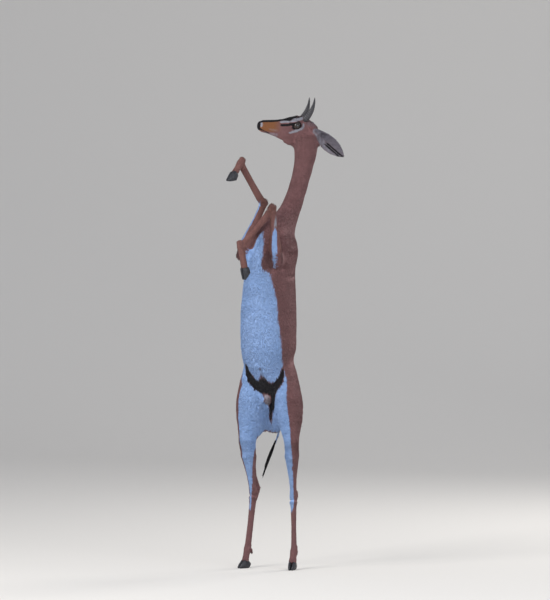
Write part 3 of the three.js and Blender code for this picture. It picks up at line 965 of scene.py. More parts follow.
@dataclass
class Markings:
    """Where each marking of the coat lies, in millimetres.

    Attributes:
        atlas: The parts of the body.
        left_border: Where the white ends on the animal's left: heights and places across.
        right_leg_border: The same on the right hind leg.
        belly_right: Where the white ends on the trunk's right: heights and shares of its half width.
        trunk_sides: The trunk's heights, middles and half widths.
        inner_stripe: The left forearm's stripe: heights, middles and half widths.
        groin: The black bands: places across, heights and half widths.
        scrotum: Half its width, its height and half its length.
        leg_fans: Which way the hind legs' white inner sides face, in degrees.
        leg_fan: How far to each side of that they reach.
        forearm_fan: The right forearm's white inner side: which way it faces, and how far it reaches.
        eye_corners: The direction of the line through the eye's corners, along and up.
        face_pale: The face's pale bands, with one patch of painted sunlight on the muzzle: a strength, and
            places along, heights and half widths.
        face_black: The face's black bands, in the same way.
    """

    atlas: Atlas
    left_border: tuple[tuple[float, float], ...] = (
        (245, 108), (358, 107), (506, 95), (616, 86), (720, 75), (783, 75), (846, 67), (934, 50),
        (1132, 34), (1182, 22), (1266, 7), (1321, -12), (1371, -23), (1451, -15),
    )
    right_leg_border: tuple[tuple[float, float], ...] = (
        (245, -76), (308, -74), (388, -71), (480, -68), (530, -54), (570, -30)
    )
    belly_right: tuple[tuple[float, float], ...] = (
        (640, 1.1), (870, 1.1), (915, 0.92), (1125, 0.90), (1230, 0.85), (1300, 0.80), (1345, 0.70),
        (1400, 0.55), (1445, 0.40), (1485, 0.0),
    )
    trunk_sides: tuple[tuple[float, float, float], ...] = (
        (588, -2, 38), (650, 0, 62), (715, 0, 80), (775, 0, 92), (845, -3, 99), (885, -6, 107),
        (932, -1, 121), (985, 0, 123), (1065, -1, 122), (1145, 2, 113), (1225, 5, 107), (1300, 11, 96),
        (1365, 21, 82), (1420, 33, 66), (1468, 47, 49),
    )
    inner_stripe: tuple[tuple[float, float, float], ...] = (
        (1262, 27, 2), (1300, 25, 10), (1392, 22, 12), (1450, 26.5, 7), (1500, 31.5, 4)
    )
    groin: tuple[tuple[tuple[float, float, float], ...], ...] = (
        ((57, 862, 4), (54.6, 824, 9), (42, 799, 14), (23, 778, 18), (-2, 766, 21)),
        ((-97, 872, 4), (-90, 837, 9), (-75.6, 806, 14), (-54, 781, 17), (-30, 766, 19), (-2, 764, 21)),
        ((-38, 862, 3), (-31, 830, 9), (-21, 802, 13), (-10, 778, 20)),
        ((-55, 1000, 2.2), (-49, 908, 3.6), (-38, 862, 5)),
        ((10, 775, 12), (17, 752, 9), (15, 705, 9), (9, 690, 12), (8, 672, 10), (6, 650, 7), (8, 616, 4)),
        ((8, 616, 4), (15, 597, 5)),
    )
    scrotum: Point = (17, 722, 26)
    leg_fans: tuple[float, float] = (-142, -38)
    leg_fan: float = 86
    forearm_fan: tuple[float, float] = (-160, 52)
    eye_corners: tuple[float, float] = (-0.817, 0.576)
    face_pale: Bands = (
        (0.85, ((127, 23, 4), (92, 30, 5), (43, 47, 8))),
        (0.8, ((88, -19, 4), (60, -7, 6), (35, 7, 6), (31, 24, 4))),
        # This weaker band on the side of the muzzle is painted sunlight, a pale peach patch over the orange.
        (0.45, ((174, -11, 5), (146, -15, 7))),
        (0.5, ((162, -31, 5), (140, -36, 6))),
        (0.8, ((9, -14, 7), (7, -14, 7))),
    )
    face_black: Bands = (
        (1.0, ((178, 32, 3), (136, 35, 4), (94, 37, 5.5), (72, 51, 7), (43, 61, 8))),
        (0.9, ((226, -10, 4), (206, -18, 3))),
        (0.8, ((206, -18, 1.8), (172, -29, 1.8))),
        (1.0, ((126, 10, 4.5), (100, 13, 5), (78, 20, 6))),
    )

    def read(self, places: np.ndarray, normals: np.ndarray) -> dict[Mark, np.ndarray]:
        """The strength of each marking at some points of the skin.

        Args:
            places: Points in the millimetres of the joints.
            normals: The skin's normals there.

        Returns:
            A number from 0 to 1 for each point, for each marking.
        """
        number, share, _ = self.atlas.part(places)
        made = {mark: np.zeros(len(places)) for mark in Mark}
        self._trunk(places, normals, number, made)
        self._limbs(places, normals, number, made)
        self._groin(places, normals, made)
        self._head(places, normals, number, share, made)
        self._tail(number, share, made)
        made[Mark.WHITE] *= 1 - made[Mark.BLACK]
        return made

    def _trunk(
        self, places: np.ndarray, normals: np.ndarray, number: np.ndarray, made: dict[Mark, np.ndarray]
    ) -> None:
        """The white belly and chest, and the darker saddle down the back; painted shade keeps the white off
        the underside of the arch between the thighs.

        Args:
            places: Points in the millimetres of the joints.
            normals: The skin's normals there.
            number: The part that each belongs to.
            made: The markings so far, which it adds to.
        """
        x, y, z = places.T
        body = self.atlas.is_part(number, "trunk", "shoulder", "neck").astype(float)
        heights, middles, halves = np.array(self.trunk_sides).T
        across = (x - np.interp(z, heights, middles)) / np.interp(z, heights, halves)
        right = np.interp(z, *np.array(self.belly_right).T)
        front = rise(normals @ TOWARD, -0.3, -0.05)
        white = self._left_of_border(places) * rise(across + right, -0.035, 0.035)
        white *= front * rise(z, 1480, 1460)
        # Painted shade: below 650 mm the downward-facing skin of the arch between the thighs keeps the brown,
        # not the white.
        white *= 1 - rise(-normals[:, 2], 0.5, 0.85) * rise(z, 650, 610)
        self._add(made, Mark.WHITE, white * body)
        back = rise(normals[:, 1], 0.25, 0.8) * self.atlas.is_part(number, "trunk", "neck")
        self._add(made, Mark.SADDLE, back)
        border = np.interp(z, *np.array(self.left_border).T)
        flank = bump_at(places @ ACROSS - border, 12, 10) * rise(y, 30, -20) * rise(z, 1300, 1200)
        self._add(made, Mark.SADDLE, 0.45 * flank * body * (1 - white))

    @staticmethod
    def _add(made: dict[Mark, np.ndarray], mark: Mark, values: np.ndarray) -> None:
        """Lays a marking over what is there."""
        made[mark] = np.maximum(made[mark], values)

    def _left_of_border(self, places: np.ndarray) -> np.ndarray:
        """1 inside the line that ends the white on the animal's left, and 0 outside it."""
        border = np.interp(places[:, 2], *np.array(self.left_border).T)
        return rise(border - places @ ACROSS, -4, 4)

    def _limbs(
        self, places: np.ndarray, normals: np.ndarray, number: np.ndarray, made: dict[Mark, np.ndarray]
    ) -> None:
        """White inner sides of the legs, warm lower legs and dark knees.

        Args:
            places: Points in the millimetres of the joints.
            normals: The skin's normals there.
            number: The part that each belongs to.
            made: The markings so far, which it adds to.
        """
        z = places[:, 2]
        facing = np.degrees(np.arctan2(normals[:, 1], normals[:, 0]))
        front = rise(normals @ TOWARD, -0.1, 0.15)
        right_border = np.interp(z, *np.array(self.right_leg_border).T)
        past_right = rise(places @ ACROSS - right_border, -3, 3) * rise(z, 590, 560)
        for side, centre, past in zip(Side, self.leg_fans, (1 - self._left_of_border(places), past_right)):
            name = side.value
            here = self.atlas.is_part(number, f"thigh_{name}", f"gaskin_{name}", f"hind_cannon_{name}")
            away = np.abs((facing - centre + 180) % 360 - 180)
            fan = rise(self.leg_fan - away, -9, 9) * rise(z, 236, 254) * (1 - front * past)
            self._add(made, Mark.WHITE, fan * here)
        centre, reach = self.forearm_fan
        away = np.abs((facing - centre + 180) % 360 - 180)
        inner = rise(reach - away, -7, 7) * self.atlas.is_part(number, "forearm_right")
        self._add(made, Mark.WHITE, inner * 0.9)
        self._stripe(places, front * self.atlas.is_part(number, "forearm_left", "shoulder_left"), made)
        lower = self.atlas.is_part(number, "forearm", "fore_cannon", "fore_foot")
        self._add(made, Mark.WARM, 0.42 * lower)
        hind = self.atlas.is_part(number, "hind_cannon", "hind_foot")
        self._add(made, Mark.WARM, 0.24 * hind)
        for leg in POSE.fore.values():
            distance = np.linalg.norm(places - np.array(leg.carpus), axis=1)
            near = self.atlas.is_part(number, "forearm", "fore_cannon")
            self._add(made, Mark.SADDLE, 0.5 * rise(distance, 46, 18) * near)

    def _stripe(self, places: np.ndarray, here: np.ndarray, made: dict[Mark, np.ndarray]) -> None:
        """The white stripe down the left forearm, grey at its top, with a dark band along its inner side: the
        chest's brown side darkened by painted shadow from the forearm.

        Args:
            places: Points in the millimetres of the joints.
            here: How far each is on the leg's front.
            made: The markings so far, which it adds to.
        """
        z = places[:, 2]
        heights, middles, halves = np.array(self.inner_stripe).T
        off = places @ ACROSS - np.interp(z, heights, middles)
        half = np.interp(z, heights, halves)
        tall = rise(z, 1258, 1280) * rise(z, 1512, 1480) * here
        band = rise(half - np.abs(off), -3, 3) * tall
        self._add(made, Mark.WHITE, band * rise(z, 1455, 1425))
        self._add(made, Mark.PALE, band * rise(z, 1425, 1455) * 0.8)
        # Painted shadow: the band beside the stripe's inner side is darkened where the forearm shades the
        # chest.
        dark = rise(-off - half, -1, 4) * rise(z, 1262, 1280) * rise(z, 1450, 1400) * here
        self._add(made, Mark.SADDLE, dark)
        made[Mark.WHITE] *= 1 - dark

    @staticmethod
    def _band(across: np.ndarray, z: np.ndarray, path: Sequence[Point]) -> np.ndarray:
        """A soft band along a path.

        Args:
            across: Where each point lies across the drawing.
            z: The height of each point.
            path: The band's middle, each with a place across, a height and half its width.

        Returns:
            The strength of the band at each point.
        """
        made = np.zeros(len(z))
        for low, high in zip(path, path[1:]):
            line = np.array(high) - np.array(low)
            t = np.clip(((across - low[0]) * line[0] + (z - low[1]) * line[1]) / (line[:2] @ line[:2]), 0, 1)
            off = np.hypot(across - low[0] - t * line[0], z - low[1] - t * line[1])
            made = np.maximum(made, rise(off / (low[2] + t * line[2]), 1.3, 0.8))
        return made

    def _groin(self, places: np.ndarray, normals: np.ndarray, made: dict[Mark, np.ndarray]) -> None:
        """The black folds of the groin, the black sheath and the grey scrotum.

        Args:
            places: Points in the millimetres of the joints.
            normals: The skin's normals there.
            made: The markings so far, which it adds to.
        """
        x, y, z = places.T
        front = rise(normals @ TOWARD, -0.35, -0.1) * rise(y, 75, 55)
        for path in self.groin:
            band = self._band(places @ ACROSS, z, path) * front
            self._add(made, Mark.BLACK, band)
        wide, middle, tall = self.scrotum
        scrotum = rise((x / wide) ** 2 + ((z - middle) / tall) ** 2, 1.15, 0.75) * rise(y, 5, -4)
        made[Mark.BLACK] *= 1 - scrotum
        self._add(made, Mark.PALE, scrotum * 0.6)
        made[Mark.WHITE] *= 1 - scrotum

    def _tail(self, number: np.ndarray, share: np.ndarray, made: dict[Mark, np.ndarray]) -> None:
        """A brown dock that ends black."""
        tail = self.atlas.is_part(number, "tail")
        self._add(made, Mark.BLACK, tail * (0.62 + 0.38 * rise(share, 0.1, 0.35)))

    def _head(
        self,
        places: np.ndarray,
        normals: np.ndarray,
        number: np.ndarray,
        share: np.ndarray,
        made: dict[Mark, np.ndarray],
    ) -> None:
        """The face: black nose and nasal stripe, pale bands round the eye, orange muzzle with a pale patch of
        painted sunlight, and pale jaw.

        Args:
            places: Points in the millimetres of the joints.
            normals: The skin's normals there.
            number: The part that each belongs to.
            share: How far along the part each lies.
            made: The markings so far, which it adds to.
        """
        on_head = self.atlas.is_part(number, "head").astype(float)
        inside = HEAD.inside(places)
        u, v, w = inside.T
        inner = normals @ HEAD.axes().T
        side = rise(inner[:, 1] * np.sign(v), 0.12, 0.35)
        v = np.abs(v)
        for mark in (Mark.WHITE, Mark.SADDLE, Mark.BLACK):
            made[mark] *= 1 - on_head
        muzzle = rise(u, 96, 176) * rise(w, -32, -14)
        self._add(made, Mark.WARM, muzzle * on_head)
        # The pale bands include the patch of painted sunlight on the muzzle.
        pale, black = (
            np.maximum.reduce([weight * self._band(u, w, path) for weight, path in bands]) * side
            for bands in (self.face_pale, self.face_black)
        )
        nostril = rise(np.hypot(u - 212, (w - 4) / 1.7), 9, 5) * 0.7 * side
        jaw = rise(w, -23, -27) * rise(u, 118, 140) * rise(u, 212, 205) * 0.5
        pale = np.maximum.reduce([pale, nostril, jaw])
        self._add(made, Mark.PALE, pale * on_head)
        top = rise(inner[:, 2], 0.42, 0.7) * rise(v, 20, 13) * rise(u, 38, 50)
        cap = np.maximum(rise(u, 213, 219), rise(u, 186, 200) * rise(w, 13, 19))
        along, up = self.eye_corners
        slant = along * (u - HEAD.eye[0]) + up * (w - HEAD.eye[2])
        square = up * (u - HEAD.eye[0]) - along * (w - HEAD.eye[2])
        lid = rise(np.hypot(slant / 1.4, square), 18, 14) * side
        black = np.maximum.reduce([top * 0.96, cap, black, lid])
        self._add(made, Mark.BLACK, black * on_head)
        poll = rise(u, 40, 10) * rise(w, 0, 25)
        self._add(made, Mark.GREY, 0.5 * poll * on_head)
        self._ears(inside, inner, number, share, made)

    def _ears(
        self,
        inside: np.ndarray,
        inner: np.ndarray,
        number: np.ndarray,
        share: np.ndarray,
        made: dict[Mark, np.ndarray],
    ) -> None:
        """Grey outer sides, and inner sides with pale hair between black streaks.

        Args:
            inside: Points in the head's frame.
            inner: The skin's normals in the head's frame.
            number: The part that each point belongs to.
            share: How far along the part each lies.
            made: The markings so far, which it adds to.
        """
        for side_name, (root, along, opening) in HEAD.ears.items():
            here = self.atlas.is_part(number, f"ear_{side_name.value}").astype(float)
            way = unit(np.array(along))
            face = unit(np.array(opening) - way * (np.array(opening) @ way))
            width = np.cross(face, way)
            lower = -((inside - np.array(root)) @ width) * np.sign(width[2])
            lining = rise(inner @ face, 0.1, 0.45) * rise(lower, -3, 2)
            streaks = np.maximum(bump_at(lower, 3, 4.5), bump_at(lower, 13, 4.0))
            streaks *= rise(share, 0.3, 0.45)
            self._add(made, Mark.GREY, here * (0.9 - 0.3 * lining))
            self._add(made, Mark.PALE, here * lining * 0.55)
            self._add(made, Mark.BLACK, here * lining * streaks)
            self._add(made, Mark.BLACK, here * rise(share, 0.84, 0.99) * 0.5)


# The skin.


@dataclass(frozen=True)
class Stroke:
    """A raised or sunk line on the skin.

    Attributes:
        points: Its path, in the millimetres of the joints.
        radius: How far it reaches from its path.
        height: How far it stands out; it is sunk where this is negative.
        mirrored: Whether the other side has it too.
    """

    points: tuple[Point, ...]
    radius: float
    height: float
    mirrored: bool = True


@dataclass
class Skin:
    """One skin over all the flesh, from the CAD nodes' own shape.

    Attributes:
        atlas: The parts of the body.
        markings: Where the markings lie.
        voxel: The size of the skin's faces, in millimetres.
        most_faces: How many faces it may have.
        swell: How far the nodes grow before they are joined, in millimetres.
        body_rounds: How often the trunk is smoothed, and so on for each region below.
        hock_height: The middle of the hocks, in millimetres.
        hock_reach: How far the hocks reach from there.
        blend_rounds: How often the border between the regions is smoothed.
        depth_rounds: How often the coat's depth is smoothed.
        mark_rounds: How often the markings are smoothed, everywhere and away from the head.
        flow_rounds: How often the way of the hair is smoothed.
        depths: How far the skin lies inside the nodes on each part, in millimetres.
        strokes: The muscles, tendons and folds.
    """

    atlas: Atlas
    markings: Markings
    voxel: float = 2.2
    most_faces: int = 192_000
    swell: float = 0.6
    body_rounds: int = 46
    limb_rounds: int = 8
    hock_rounds: int = 30
    hock_height: float = 304
    hock_reach: float = 38
    head_rounds: int = 3
    blend_rounds: int = 6
    depth_rounds: int = 8
    mark_rounds: tuple[int, int] = (2, 7)
    flow_rounds: int = 24
    depths: dict[str, float] = field(
        default_factory=lambda: {
            "trunk": 3.0, "neck": 2.6, "shoulder": 2.6, "thigh": 2.6, "gaskin": 1.5, "forearm": 1.4,
            "hind_cannon": 0.8, "fore_cannon": 0.8, "hind_foot": 0.6, "fore_foot": 0.6, "tail": 0.8,
            "head": 0.8, "ear": 0.1,
        }
    )
    strokes: tuple[Stroke, ...] = (
        Stroke(((0, -134, 925), (0, -146, 1065), (1, -148, 1180)), 9, -2.6, False),
        Stroke(((104, -84, 660), (104, -104, 750), (100, -112, 840), (92, -112, 900)), 15, 4.5),
        Stroke(((131, 52, 800), (137, 36, 700), (132, 20, 610)), 9, -2.6),
        Stroke(((127, 12, 822), (132, -6, 730), (128, -22, 640)), 11, 2.2),
        Stroke(((112, 40, 1405), (128, 2, 1362), (126, -52, 1322)), 8, 2.4),
        Stroke(((100, 88, 1262), (112, 62, 1243), (110, 4, 1232), (96, -60, 1240)), 10, -3.0),
    )

    @property
    def nodes(self) -> list[str]:
        """The CAD nodes that the skin stands for."""
        made = ["rump", "abdomen", "chest", "neck_lower", "neck_upper", "head", "tail"]
        pairs = ("ear", "thigh", "gaskin", "hind_cannon", "hind_pastern", "shoulder", "forearm")
        for name in (*pairs, "fore_cannon", "fore_pastern"):
            made.extend(f"{name}_{side.value}" for side in Side)
        return made

    def build(self, material: bpy.types.Material) -> bpy.types.Object:
        """Makes the skin.

        Args:
            material: Its material.

        Returns:
            The skin.
        """
        mesh = self._reduced(remeshed("skin", self.nodes, self.voxel * MM, self.swell * MM))
        places = to_joints(mesh)
        number, _, _ = self.atlas.part(places)
        smoother = Smoother(mesh)
        fine = self.atlas.is_part(number, "head", "ear").astype(float)
        thin = self.atlas.is_part(number, "hind_cannon", "fore", "hind_foot", "tail", "gaskin").astype(float)
        x, y, z = places.T
        small = rise(np.abs(x), 30, 20) * rise(z, 690, 700) * rise(z, 910, 900) * rise(y, 20, 0)
        body = np.clip(1 - fine - thin - 0.85 * small, 0, 1)[:, None]
        body = smoother.run(body, self.blend_rounds, 1.0)
        places = smoother.run(places, self.body_rounds, body)
        places = smoother.run(places, self.limb_rounds, (thin + small)[:, None].clip(0, 1), keep=True)
        hocks = thin * bump_at(places[:, 2], self.hock_height, self.hock_reach)
        places = smoother.run(places, self.hock_rounds, hocks[:, None].clip(0, 1), keep=True)
        places = smoother.run(places, self.head_rounds, fine[:, None], keep=True)
        set_vertices(mesh, to_row(places))
        normals = normals_of(mesh)
        lift = self._relief(places)
        depth = np.zeros(len(places))
        for name, value in self.depths.items():
            depth[self.atlas.is_part(number, name)] = value
        depth = smoother.run(depth[:, None], self.depth_rounds, 1.0)[:, 0]
        places = places + normals * (lift - depth)[:, None]
        set_vertices(mesh, to_row(places))
        self._dress(mesh, places, smoother)
        made = new_object("skin", mesh, material)
        self._unwrap(mesh, places)
        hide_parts(*self.nodes)
        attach(made, "root")
        return made

    def _reduced(self, mesh: bpy.types.Mesh) -> bpy.types.Mesh:
        """Thins the mesh away from the head, so that it keeps its detail where it is needed.

        Args:
            mesh: The mesh.

        Returns:
            The thinned mesh.
        """
        faces = 2 * len(mesh.polygons)
        if faces <= self.most_faces:
            return mesh
        piece = new_object("thinned", mesh)
        places = to_joints(mesh)
        number, _, _ = self.atlas.part(places)
        coarse = ~self.atlas.is_part(number, "head", "ear")
        group = piece.vertex_groups.new(name="coarse")
        group.add(np.flatnonzero(coarse).tolist(), 1.0, "REPLACE")
        step = piece.modifiers.new("thin", "DECIMATE")
        step.ratio = self.most_faces / faces
        step.vertex_group = "coarse"
        return baked(piece)

    def _relief(self, places: np.ndarray) -> np.ndarray:
        """How far the muscles, tendons and folds stand out.

        Args:
            places: Points in the millimetres of the joints.

        Returns:
            A distance for each point, in millimetres.
        """
        made = np.zeros(len(places))
        for stroke in self.strokes:
            for way in (1, -1) if stroke.mirrored else (1,):
                path = tuple((x * way, y, z) for x, y, z in stroke.points)
                distance, share, _, _ = Line("stroke", path, 0, (0, 0, 0, 0)).nearest(places)
                ends = rise(share, 0, 0.2) * rise(share, 1, 0.8)
                made += stroke.height * bump_at(distance, 0, stroke.radius) * (0.25 + 0.75 * ends)
        return made

    def _dress(self, mesh: bpy.types.Mesh, places: np.ndarray, smoother: Smoother) -> None:
        """Stores the markings and the way the hair lies on the skin.

        Args:
            mesh: The skin's mesh.
            places: Its vertices in the millimetres of the joints.
            smoother: Averages over the mesh.
        """
        normals = normals_of(mesh)
        marks = self.markings.read(places, normals)
        number, _, ways = self.atlas.part(places)
        coarse = 1.0 - self.atlas.is_part(number, "head", "ear")[:, None]
        table = smoother.run(np.stack(list(marks.values()), 1), self.mark_rounds[0], 1.0)
        table = smoother.run(table, self.mark_rounds[1], coarse)
        marks = dict(zip(marks, table.T))
        for name in ("marks_a", "marks_b"):
            columns = [np.zeros(len(places))] * 3 + [np.ones(len(places))]
            for mark, values in marks.items():
                if mark.value[0] == name:
                    columns[mark.value[1]] = values
            attribute(mesh, name, "FLOAT_COLOR", np.stack(columns, 1))
        flow = smoother.run(ways, self.flow_rounds, 1.0)
        flow -= normals * np.sum(flow * normals, 1, keepdims=True)
        attribute(mesh, "flow", "FLOAT_VECTOR", unit(flow))

    def _unwrap(self, mesh: bpy.types.Mesh, places: np.ndarray) -> None:
        """Rolls the skin out on its own UV map.

        Args:
            mesh: The skin's mesh.
            places: Its vertices in the millimetres of the joints.
        """
        corners = numbers_of(mesh.loops, "vertex_index", np.int32)
        sizes = numbers_of(mesh.polygons, "loop_total", np.int32)
        face_of = np.repeat(np.arange(len(sizes)), sizes)
        centres = np.stack([np.bincount(face_of, places[corners, k]) for k in range(3)], 1) / sizes[:, None]
        number, _, _ = self.atlas.part(centres)
        flat = self.atlas.unwrap(places[corners], number[face_of], centres[face_of])
        layer = mesh.uv_layers.new(name=BAKE_MAP)
        layer.data.foreach_set("uv", flat.astype(np.float32).ravel())


# The coat's tufts.


@dataclass(frozen=True)
class Lock:
    """One small pointed lock of hair, closed all round. Its length runs along x and its back faces up.

    Attributes:
        name: The lock's name.
        bend: How far it rises along its length.
        rings: How many rings of three points it has before its tip.
    """

    name: str
    bend: float = 0.5
    rings: int = 2

    def build(self) -> bpy.types.Object:
        """Makes the lock, 1 long, 1 wide and 1 high, out of the render's sight."""
        points, patch, faces = [], [], []
        for k in range(self.rings):
            t = k / self.rings
            wide = 0.36 + 0.14 * math.sin(math.pi * min(1.0, t * 1.6)) - 0.25 * max(0.0, t - 0.6)
            rise_at = -0.25 + 1.2 * math.sin(math.pi * 0.5 * t ** 0.8) * self.bend
            for y, z in ((-wide, 0.0), (wide, 0.0), (0.0, 0.42 * wide)):
                points.append((t, y, rise_at + z))
                patch.append((t - 0.5, y, 0.0))
        points.append((1.0, 0.0, -0.25 + 1.1 * self.bend))
        patch.append((0.5, 0.0, 0.0))
        faces.append([0, 2, 1])
        for k in range(self.rings - 1):
            for a, b in ((0, 1), (1, 2), (2, 0)):
                faces.append([3 * k + a, 3 * k + b, 3 * k + 3 + b, 3 * k + 3 + a])
        last = 3 * (self.rings - 1)
        for a, b in ((0, 1), (1, 2), (2, 0)):
            faces.append([last + a, last + b, len(points) - 1])
        mesh = mesh_from(self.name, np.array(points), faces)
        attribute(mesh, "patch", "FLOAT_VECTOR", np.array(patch))
        return new_object(self.name, mesh)


class FurTree:
    """The node tree that scatters locks of hair over a surface and lays them along its flow."""

    INPUTS = {
        "Lock": "Object",
        "Material": "Material",
        "Density": "Float",
        "Width": "Float",
        "Lift": "Float",
        "Stray": "Float",
        "Seed": "Int",
    }

    def __init__(self) -> None:
        """Builds the tree."""
        self.tree = bpy.data.node_groups.new("fur", "GeometryNodeTree")
        graph = Graph(self.tree)
        face = self.tree.interface
        face.new_socket("Geometry", in_out="INPUT", socket_type="NodeSocketGeometry")
        self.inputs = {
            name: face.new_socket(name, in_out="INPUT", socket_type=f"NodeSocket{kind}").identifier
            for name, kind in self.INPUTS.items()
        }
        face.new_socket("Geometry", in_out="OUTPUT", socket_type="NodeSocketGeometry")
        given = graph.node("NodeGroupInput").outputs

        def named(name: str, kind: str) -> bpy.types.NodeSocket:
            """The value of a named attribute."""
            made = graph.node("GeometryNodeInputNamedAttribute", {"data_type": kind}, {"Name": name})
            return made.outputs["Attribute"]

        def chance(low: float, high: float, shift: int) -> Value:
            """A random number for each lock."""
            seed = Value(graph, given["Seed"]) + float(shift)
            made = graph.node("FunctionNodeRandomValue", {"data_type": "FLOAT"}, {"Seed": seed})
            made.inputs[2].default_value = low
            made.inputs[3].default_value = high
            return Value(graph, made.outputs[1])

        density = Value(graph, named("density", "FLOAT")) * Value(graph, given["Density"])
        spread = graph.node(
            "GeometryNodeDistributePointsOnFaces",
            {"distribute_method": "RANDOM"},
            {"Mesh": given["Geometry"], "Density": density, "Seed": given["Seed"]},
        )
        rooted = graph.node(
            "GeometryNodeStoreNamedAttribute",
            {"data_type": "FLOAT_VECTOR", "domain": "POINT"},
            {"Geometry": spread.outputs["Points"], "Name": "root"},
        )
        self.tree.links.new(graph.node("GeometryNodeInputPosition").outputs[0], rooted.inputs["Value"])
        laid = graph.node(
            "FunctionNodeAlignRotationToVector",
            {"axis": "X", "pivot_axis": "Z"},
            {"Rotation": spread.outputs["Rotation"], "Vector": named("flow", "FLOAT_VECTOR")},
        )
        stray = Value(graph, given["Stray"])
        turn = graph.node(
            "ShaderNodeCombineXYZ",
            {},
            {
                "X": chance(-0.5, 0.5, 1) * stray,
                "Y": chance(-0.25, 0.12, 2) * stray,
                "Z": chance(-1, 1, 3) * stray,
            },
        )
        turned = graph.node(
            "FunctionNodeRotateRotation",
            {"rotation_space": "LOCAL"},
            {"Rotation": laid.outputs[0], "Rotate By": turn.outputs[0]},
        )
        size = graph.node(
            "ShaderNodeCombineXYZ",
            {},
            {
                "X": Value(graph, named("reach", "FLOAT")) * chance(0.72, 1.18, 4),
                "Y": Value(graph, given["Width"]) * chance(0.7, 1.25, 5),
                "Z": Value(graph, given["Lift"]) * chance(0.65, 1.2, 6),
            },
        )
        lock = graph.node("GeometryNodeObjectInfo", {}, {"Object": given["Lock"]})
        placed = graph.node(
            "GeometryNodeInstanceOnPoints",
            {},
            {
                "Points": rooted.outputs[0],
                "Instance": lock.outputs["Geometry"],
                "Rotation": turned.outputs[0],
                "Scale": size.outputs[0],
            },
        )
        real = graph.node("GeometryNodeRealizeInstances", {}, {0: placed.outputs[0]})
        painted = graph.node(
            "GeometryNodeSetMaterial", {}, {"Geometry": real.outputs[0], "Material": given["Material"]}
        )
        graph.node("NodeGroupOutput", {}, {0: painted.outputs[0]})

    def grow(self, name: str, mesh: bpy.types.Mesh, settings: dict[str, object]) -> bpy.types.Mesh:
        """Grows locks on a mesh.

        Args:
            name: The new mesh's name.
            mesh: The mesh, with flow, reach and density attributes.
            settings: The tree's inputs by name.

        Returns:
            The locks alone.
        """
        holder = new_object(name, mesh)
        step = holder.modifiers.new("fur", "NODES")
        step.node_group = self.tree
        for key, value in settings.items():
            step[self.inputs[key]] = value
        made = baked(holder)
        made.name = name
        return made


@dataclass(frozen=True)
class Fur:
    """One piece of the coat.

    Attributes:
        name: The piece's name.
        count: About how many locks it has.
        width: A lock's width, in millimetres.
        lift: How far a lock stands off the skin, in millimetres.
        stray: How far a lock may turn from the flow, in radians.
        seed: The seed of everything random in it.
        where: Gives the share of locks and their length at each vertex of the skin.
    """

    name: str
    count: int
    width: float
    lift: float
    stray: float
    seed: int
    where: Callable[["CoatPlaces"], tuple[np.ndarray, np.ndarray]]


class CoatPlaces:
    """What the pieces of the coat need to know about the skin."""

    def __init__(self, skin: bpy.types.Object, atlas: Atlas) -> None:
        """Reads the skin's vertices."""
        self.mesh = skin.data
        self.atlas = atlas
        self.points = to_joints(self.mesh)
        self.normals = normals_of(self.mesh)
        self.number, self.share, _ = atlas.part(self.points)
        self.head = HEAD.inside(self.points)
        self.inner = self.normals @ HEAD.axes().T

    def on(self, *words: str) -> np.ndarray:
        """1 on the parts whose names start with one of some words, and 0 elsewhere."""
        return self.atlas.is_part(self.number, *words).astype(float)

    def bare(self) -> np.ndarray:
        """0 where the head is bare: on the nose, in the mouth and round the eyes."""
        u, v, w = self.head.T
        eye = np.hypot((u - HEAD.eye[0]) / 1.15, w - HEAD.eye[2])
        covered = rise(eye, 17, 20) + (np.abs(v) < 20)
        return np.clip(covered, 0, 1) * rise(u, 214, 206)

    def ear_face(self, side: Side) -> np.ndarray:
        """How far each vertex faces the open side of an ear."""
        _, along, opening = HEAD.ears[side]
        way = unit(np.array(along))
        return self.inner @ unit(np.array(opening) - way * (np.array(opening) @ way))


def short_front(at: CoatPlaces) -> tuple[np.ndarray, np.ndarray]:
    """The short coat of the trunk's front half."""
    return at.on("trunk", "shoulder") * (at.points[:, 1] < 0), np.full(len(at.points), 17.0)


def short_back(at: CoatPlaces) -> tuple[np.ndarray, np.ndarray]:
    """The short coat of the trunk's back half."""
    return at.on("trunk", "shoulder") * (at.points[:, 1] >= 0), np.full(len(at.points), 17.0)


def short_haunches(at: CoatPlaces) -> tuple[np.ndarray, np.ndarray]:
    """The short coat of the thighs and the gaskins."""
    return at.on("thigh", "gaskin"), 15 - 5 * at.on("gaskin") * at.share


def short_legs(at: CoatPlaces) -> tuple[np.ndarray, np.ndarray]:
    """The very short coat of the forelegs and the lower legs, and the brushes on the knees."""
    reach = np.full(len(at.points), 8.5)
    for leg in POSE.fore.values():
        near = np.linalg.norm(at.points - np.array(leg.carpus), axis=1)
        reach += 9 * rise(near, 42, 20)
    return at.on("forearm", "fore_", "hind_"), reach


def short_neck(at: CoatPlaces) -> tuple[np.ndarray, np.ndarray]:
    """The short coat of the neck, a little longer at its back."""
    return at.on("neck"), 13 + 5 * rise(at.normals[:, 1], 0.3, 0.9)


def short_head(at: CoatPlaces) -> tuple[np.ndarray, np.ndarray]:
    """The very short coat of the face and the backs of the ears."""
    back = sum(at.on(f"ear_{side.value}") * (at.ear_face(side) < 0.1) for side in Side)
    u = at.head[:, 0]
    return at.on("head") * at.bare() + 1.3 * back, 8.5 - 3.5 * rise(u, 40, 190)


def ear_fringe(at: CoatPlaces) -> tuple[np.ndarray, np.ndarray]:
    """The longer pale hair inside the ears."""
    made = np.zeros(len(at.points))
    for side in Side:
        made += at.on(f"ear_{side.value}") * (at.ear_face(side) >= 0.1) * rise(at.share, 0.98, 0.8)
    return made, 9 + 3 * rise(at.share, 0.9, 0.3)


